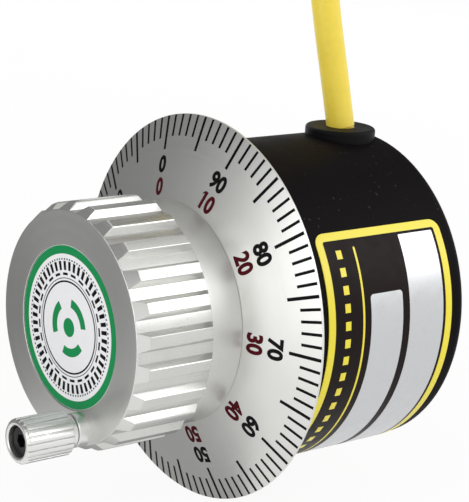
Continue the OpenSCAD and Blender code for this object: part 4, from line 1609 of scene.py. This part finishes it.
@dataclass
class Dial:
    """Conical dial with a hundred divisions and two rows of numerals."""

    radius: float = 40.0
    hub: float = 23.0
    bore: float = 8.02
    edge_front: float = -5.5
    thickness: float = 1.0
    seat: float = -11.3
    rim: float = 0.5
    rim_slope: float = 1.0
    edge: float = 0.08
    segments: int = 240
    sharp: float = 25.0
    divisions: int = 100
    long_every: int = 5
    number_every: int = 10
    tick_outer: float = 39.93
    tick_inner: float = 35.6
    long_inner: float = 33.1
    tick_width: float = 0.6
    long_width: float = 0.69
    tick_steps: int = 4
    ink: float = 0.02
    sink: float = 0.03
    outer_row: float = 28.4
    outer_height: float = 3.5
    outer_width: float = 1.02
    inner_row: float = 23.85
    inner_height: float = 3.6
    inner_width: float = 0.95
    stroke: float = 0.042
    slab: float = 0.02
    curve_steps: int = 6
    flag_outline: tuple[Pair, ...] = (
        (0.06, 0.0), (0.0, -0.02), (-0.17, -0.16), (-0.17, -0.29), (0.02, -0.17))

    def cone(self, r: float) -> float:
        """Place of the dial's front surface at a radius, all in millimetres."""
        rise = max(0.0, r - self.hub) / (self.radius - self.hub)
        return self.seat + (self.edge_front - self.seat) * rise

    def plate(self, palette: Palette) -> None:
        """Turn the dial's plate: edges just broken, and the rim thinned from behind.

        Args:
            palette: The finishes.
        """
        t = self.thickness
        back = self.radius - self.rim_slope
        corners = [
            (self.bore, self.seat), (self.hub, self.seat), (self.radius, self.edge_front),
            (self.radius, self.edge_front + self.rim), (back, self.cone(back) + t),
            (self.hub, self.seat + t), (self.bore, self.seat + t)]
        outline = rounded([(r * MM, y * MM) for r, y in corners], self.edge * MM, 2)
        mesh = mesh_from(lathe(outline, self.segments), "dial_plate", angle=self.sharp)
        ride(place("dial_plate", mesh, palette["dial_aluminium"]), Body.WHEEL, ("dial",))

    def tick(self, inner: float, width: float) -> bmesh.types.BMesh:
        """Build one line at the top of the dial, lying on the cone.

        Args:
            inner: Radius of its inner end.
            width: Its width.

        Returns:
            The line as a thin closed bar.
        """
        half = width / 2
        section = ((-half, self.sink), (half, self.sink), (half, -self.ink), (-half, -self.ink))
        return bar([(x * MM, (self.cone(r) + dy) * MM, r * MM) for x, dy in section]
                   for r in spread(inner, self.tick_outer, self.tick_steps))

    def flag(self, mesh: bpy.types.Mesh) -> None:
        """Give a leading 1, which the built-in font draws as a bare stroke, its slanted flag.

        Args:
            mesh: The number's mesh, still flat.
        """
        left = min(v.co.x for v in mesh.vertices)
        high, deep = (max(v.co[axis] for v in mesh.vertices) for axis in (1, 2))
        build = bmesh.new()
        build.from_mesh(mesh)
        outline = [(left + dx * high, high + dy * high) for dx, dy in self.flag_outline]
        front, rear = ([build.verts.new((x, y, z)) for x, y in outline] for z in (deep, -deep))
        build.faces.new(front)
        build.faces.new(list(reversed(rear)))
        for i in range(len(outline)):
            j = (i + 1) % len(outline)
            build.faces.new((front[i], rear[i], rear[j], front[j]))
        bmesh.ops.recalc_face_normals(build, faces=build.faces)
        build.to_mesh(mesh)
        build.free()

    def numeral(self, text: str, angle: float, base: float, height: float, width_factor: float,
                material: bpy.types.Material) -> bpy.types.Object:
        """Draw one number on the cone with its top outwards.

        Args:
            text: The digits.
            angle: Degrees clockwise from the top to its middle.
            base: Radius at its foot.
            height: Height of a digit.
            width_factor: Width against the font's own.
            material: Its ink.

        Returns:
            The number as a thin raised print.
        """
        data = bpy.data.curves.new(f"numeral_{text}", "FONT")
        data.body, data.align_x, data.size = text, "CENTER", 1.0
        data.offset, data.extrude, data.resolution_u = self.stroke, self.slab, self.curve_steps
        source = bpy.data.objects.new("numeral", data)
        bpy.context.scene.collection.objects.link(source)
        bpy.context.view_layer.update()
        mesh = bpy.data.meshes.new_from_object(source.evaluated_get(bpy.context.evaluated_depsgraph_get()))
        bpy.data.objects.remove(source)
        bpy.data.curves.remove(data)
        if text.startswith("1"):
            self.flag(mesh)
        low = min(v.co.y for v in mesh.vertices)
        scale = height / (max(v.co.y for v in mesh.vertices) - low)
        middle = (max(v.co.x for v in mesh.vertices) + min(v.co.x for v in mesh.vertices)) / 2
        for vertex in mesh.vertices:
            x = (vertex.co.x - middle) * scale * width_factor
            up = base + (vertex.co.y - low) * scale
            r = math.hypot(x, up)
            lift = self.ink if vertex.co.z > 0 else -self.sink
            vertex.co = polar(r * MM, angle + math.degrees(math.atan2(x, up)), (self.cone(r) - lift) * MM)
        return place(f"numeral_{text}", mesh, material)

    def row(self, name: str, numbers: Iterable[int], zero: float, shape: tuple[float, float, float],
            material: bpy.types.Material) -> None:
        """Draw a row of numbers round the dial.

        Args:
            name: Name of the row.
            numbers: The numbers, clockwise from the zero mark.
            zero: Angle of the zero mark.
            shape: Radius at their feet, height, and width against the font's own.
            material: Their ink.
        """
        step = 360 / self.divisions * self.number_every
        made = [self.numeral(str(number), zero + step * k, *shape, material)
                for k, number in enumerate(numbers)]
        ride(joined(name, made), Body.WHEEL)

    def build(self, zero: float, palette: Palette, ring: RingArray) -> None:
        """Make the plate, its lines and its numbers.

        Args:
            zero: Angle of the zero mark.
            palette: The finishes.
            ring: The tree that repeats lines.
        """
        self.plate(palette)
        ink, red = palette["ink_black"], palette["ink_red"]
        division = 360 / self.divisions
        copies, step = self.divisions // self.long_every, self.long_every * division
        lines = [ring.make(f"short_{k}", self.tick(self.tick_inner, self.tick_width), copies, step,
                           zero + division * k, ink) for k in range(1, self.long_every)]
        lines.append(ring.make("long_lines", self.tick(self.long_inner, self.long_width), copies, step,
                               zero, ink))
        ride(joined("dial_lines", lines), Body.WHEEL)
        numbers = range(0, self.divisions, self.number_every)
        self.row("dial_numerals", (0, *reversed(numbers[1:])), zero,
                 (self.outer_row, self.outer_height, self.outer_width), ink)
        self.row("dial_numerals_red", numbers, zero,
                 (self.inner_row, self.inner_height, self.inner_width), red)


@dataclass
class Crank:
    """Ribbed handle that turns on its spindle."""

    ribs: int = 20
    radius: float = 4.5
    depth: float = 0.42
    tip: float = -51.8
    end: float = -39.7
    rib_end: float = -40.8
    neck: float = 3.4
    mouth: float = 3.2
    shelf: float = -47.4
    bore: float = 2.45
    bevel: float = 0.5
    crown: float = 0.06
    flat: float = 0.38
    groove: float = 0.47
    middle_loop: float = -46.0
    sharp: float = 20.0

    def rib(self, angle: float) -> float:
        """Follow the ribbed outline.

        Args:
            angle: Degrees from a rib's middle.

        Returns:
            The radius there.
        """
        u = abs(angle) / (360 / self.ribs)
        if u <= self.flat:
            return self.radius - self.crown * (u / self.flat) ** 2
        fall = min(1.0, (u - self.flat) / (self.groove - self.flat))
        return self.radius - self.crown - (self.depth - self.crown) * fall

    def ribbed(self, y: float, inset: float = 0.0) -> Station:
        """Station on the ribs, held in by the end bevels."""
        return lambda angle: (min(self.rib(angle), self.radius - inset) * MM, y * MM)

    def build(self, centre: Pair, palette: Palette, ring: RingArray) -> None:
        """Make the handle from slices, one for each rib.

        Args:
            centre: X and Z of the handle's axis.
            palette: The finishes.
            ring: The tree that repeats a slice.
        """
        pitch = 360 / self.ribs
        tip, bevel, rib_end, neck = self.tip, self.bevel, self.rib_end, self.neck
        stations = [
            fixed(self.bore, self.shelf), fixed(self.mouth, self.shelf), fixed(self.mouth, tip + 0.25),
            fixed(self.mouth + 0.18, tip + 0.04), fixed(self.mouth + 0.3, tip),
            fixed(self.radius - bevel - 0.12, tip), fixed(self.radius - bevel, tip + 0.03),
            self.ribbed(tip + 0.12, bevel - 0.08), self.ribbed(tip + bevel - 0.08, 0.1),
            self.ribbed(tip + bevel + 0.1), self.ribbed(self.middle_loop),
            self.ribbed(rib_end - bevel - 0.05), self.ribbed(rib_end - bevel * 0.6, 0.25),
            self.ribbed(rib_end - 0.1, bevel + 0.3),
            fixed(neck + 0.15, rib_end), fixed(neck, rib_end + 0.12),
            fixed(neck, self.end - 0.08), fixed(neck - 0.1, self.end), fixed(self.bore, self.end)]
        half = [0, self.flat / 2, self.flat - 0.02, self.flat, self.groove, 0.5]
        grip = ring.make("crank_ribs", slice_of(stations, both_sides(half, pitch), closed=True), self.ribs,
                         pitch, 0, palette["turned_steel"], centre, angle=self.sharp)
        ride(grip, Body.CRANK, ("crank_grip",))


# ---- Housing -----------------------------------------------------------------------------


@dataclass
class HousingLabel:
    """Printed film round the housing: yellow frame, dark ground and two silver writing fields."""

    inner: float = 33.83
    film: float = 0.14
    layer: float = 0.03
    start: float = 52.0
    end: float = 202.0
    front: float = 1.5
    back: float = 35.0
    corner: float = 2.4
    frame_width: float = 1.75
    ground_corner: float = 0.5
    field_inset: float = 1.0
    rear_field: Pair = (23.1, 32.5)
    rear_corner: float = 0.3
    front_field: Pair = (12.6, 21.2)
    front_corner: float = 0.8
    front_start: float = 74.7
    rule: Pair = (10.4, 10.9)
    rule_inset: float = 3.0
    rule_corner: float = 0.2
    dash: Pair = (5.8, 7.2)
    dash_degrees: float = 3.0
    dash_step: float = 6.0
    dash_inset: float = 8.0
    dashes: int = 23
    column: float = 2.0
    corner_steps: int = 6

    def level(self, layers: int) -> float:
        """Radius of the outside of a film that lies on a number of layers."""
        return self.inner + self.film + self.layer * layers

    def patch(self, name: str, box: tuple[float, float, float, float], corner: float, layers: int,
              material: bpy.types.Material) -> bpy.types.Object:
        """Make a curved plate with round corners.

        Args:
            name: Name of the piece.
            box: First angle, last angle, front and back.
            corner: Radius of its corners in millimetres.
            layers: Which layer it is, from 1.
            material: Its finish.

        Returns:
            The plate.
        """
        a0, a1, y0, y1 = box
        outer = self.level(layers)
        turn = math.degrees(corner / outer)
        near = [turn * (1 - math.cos(math.radians(a))) for a in spread(0, 90, self.corner_steps + 1)]
        count = max(2, int((a1 - a0 - 2 * turn) / self.column) + 1)
        angles = [a0 + v for v in near] + spread(a0 + turn, a1 - turn, count)[1:-1]
        angles += [a1 - v for v in reversed(near)]
        sections = []
        for angle in angles:
            gap = max(0.0, turn - min(angle - a0, a1 - angle)) / turn
            cut = corner * (1 - math.sqrt(max(0.0, 1 - gap * gap)))
            sections.append([polar(r * MM, angle, y * MM) for r, y in (
                (self.inner, y0 + cut), (self.inner, y1 - cut), (outer, y1 - cut), (outer, y0 + cut))])
        return place(name, mesh_from(bar(sections), name), material)

    def build(self, palette: Palette, ring: RingArray) -> None:
        """Make the label's layers.

        Args:
            palette: The finishes.
            ring: The tree that repeats the plain dashes.
        """
        w = self.frame_width
        turn = math.degrees(w / self.level(2))
        yellow, dark, silver = palette["label_foil"], palette["film_brown"], palette["film_silver"]
        a0, a1 = self.start + turn, self.end - turn
        left, right = a0 + self.field_inset, a1 - self.field_inset
        rule = (a0 + self.rule_inset, a1 - self.rule_inset, *self.rule)
        patches = (
            ("label_frame", (self.start, self.end, self.front, self.back), self.corner, 1, yellow),
            ("label_ground", (a0, a1, self.front + w, self.back - w), self.ground_corner, 2, dark),
            ("label_field_rear", (left, right, *self.rear_field), self.rear_corner, 3, silver),
            ("label_field_front", (self.front_start, right, *self.front_field), self.front_corner, 3, silver),
            ("label_rule", rule, self.rule_corner, 3, yellow))
        layers = [self.patch(*patch) for patch in patches]
        layers.append(self.dash_row(palette, ring))
        ride(joined("housing_label_print", layers), Body.HOUSING, ("housing_label",))

    def dash_row(self, palette: Palette, ring: RingArray) -> bpy.types.Object:
        """Print a row of plain dashes along the dark ground.

        Args:
            palette: The finishes.
            ring: The tree that repeats the dash.

        Returns:
            The row as one object.
        """
        outer, (y0, y1) = self.level(3), self.dash
        section = ((self.inner, y0), (self.inner, y1), (outer, y1), (outer, y0))
        half = self.dash_degrees / 2
        dash = bar([polar(r * MM, angle, y * MM) for r, y in section] for angle in spread(-half, half, 3))
        return ring.make("label_dash_row", dash, self.dashes, self.dash_step, self.start + self.dash_inset,
                         palette["label_foil"])


class CarriedNodes:
    """CAD nodes that keep their own shape and only get a better material."""

    def __init__(self, palette: Palette) -> None:
        """Keep the palette."""
        self.palette = palette

    def dress(self) -> None:
        """Assign each node the finish of its material slot."""
        slots = {part["node"]: part["material_slot"] for part in frame["record"]["subparts"]}
        for name, node in frame["nodes"].items():
            material = self.palette[slots[name]]
            if not node.data.materials:
                node.data.materials.append(material)
            for index in range(len(node.data.materials)):
                node.data.materials[index] = material
            for holder in node.material_slots:
                holder.material = material
        LOG.info("%d CAD nodes dressed", len(frame["nodes"]))


def main() -> None:
    """Build the studio, the cable, the wheel and the housing's dress in order."""
    palette, ring, sweep = Palette(), RingArray(), Sweep()
    Studio().build()
    Cable().build(palette, sweep)
    CarriedNodes(palette).dress()
    low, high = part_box("crank_grip")
    centre = ((low.x + high.x) / 2, (low.z + high.z) / 2)
    zero = math.degrees(math.atan2(-centre[0], -centre[1]))
    LOG.info("zero mark at %.2f degrees", zero)
    Knob().build(zero, palette, ring)
    FaceLabel().build(zero, palette, ring)
    Dial().build(zero, palette, ring)
    Crank().build(centre, palette, ring)
    HousingLabel().build(palette, ring)


if __name__ == "__main__":
    main()
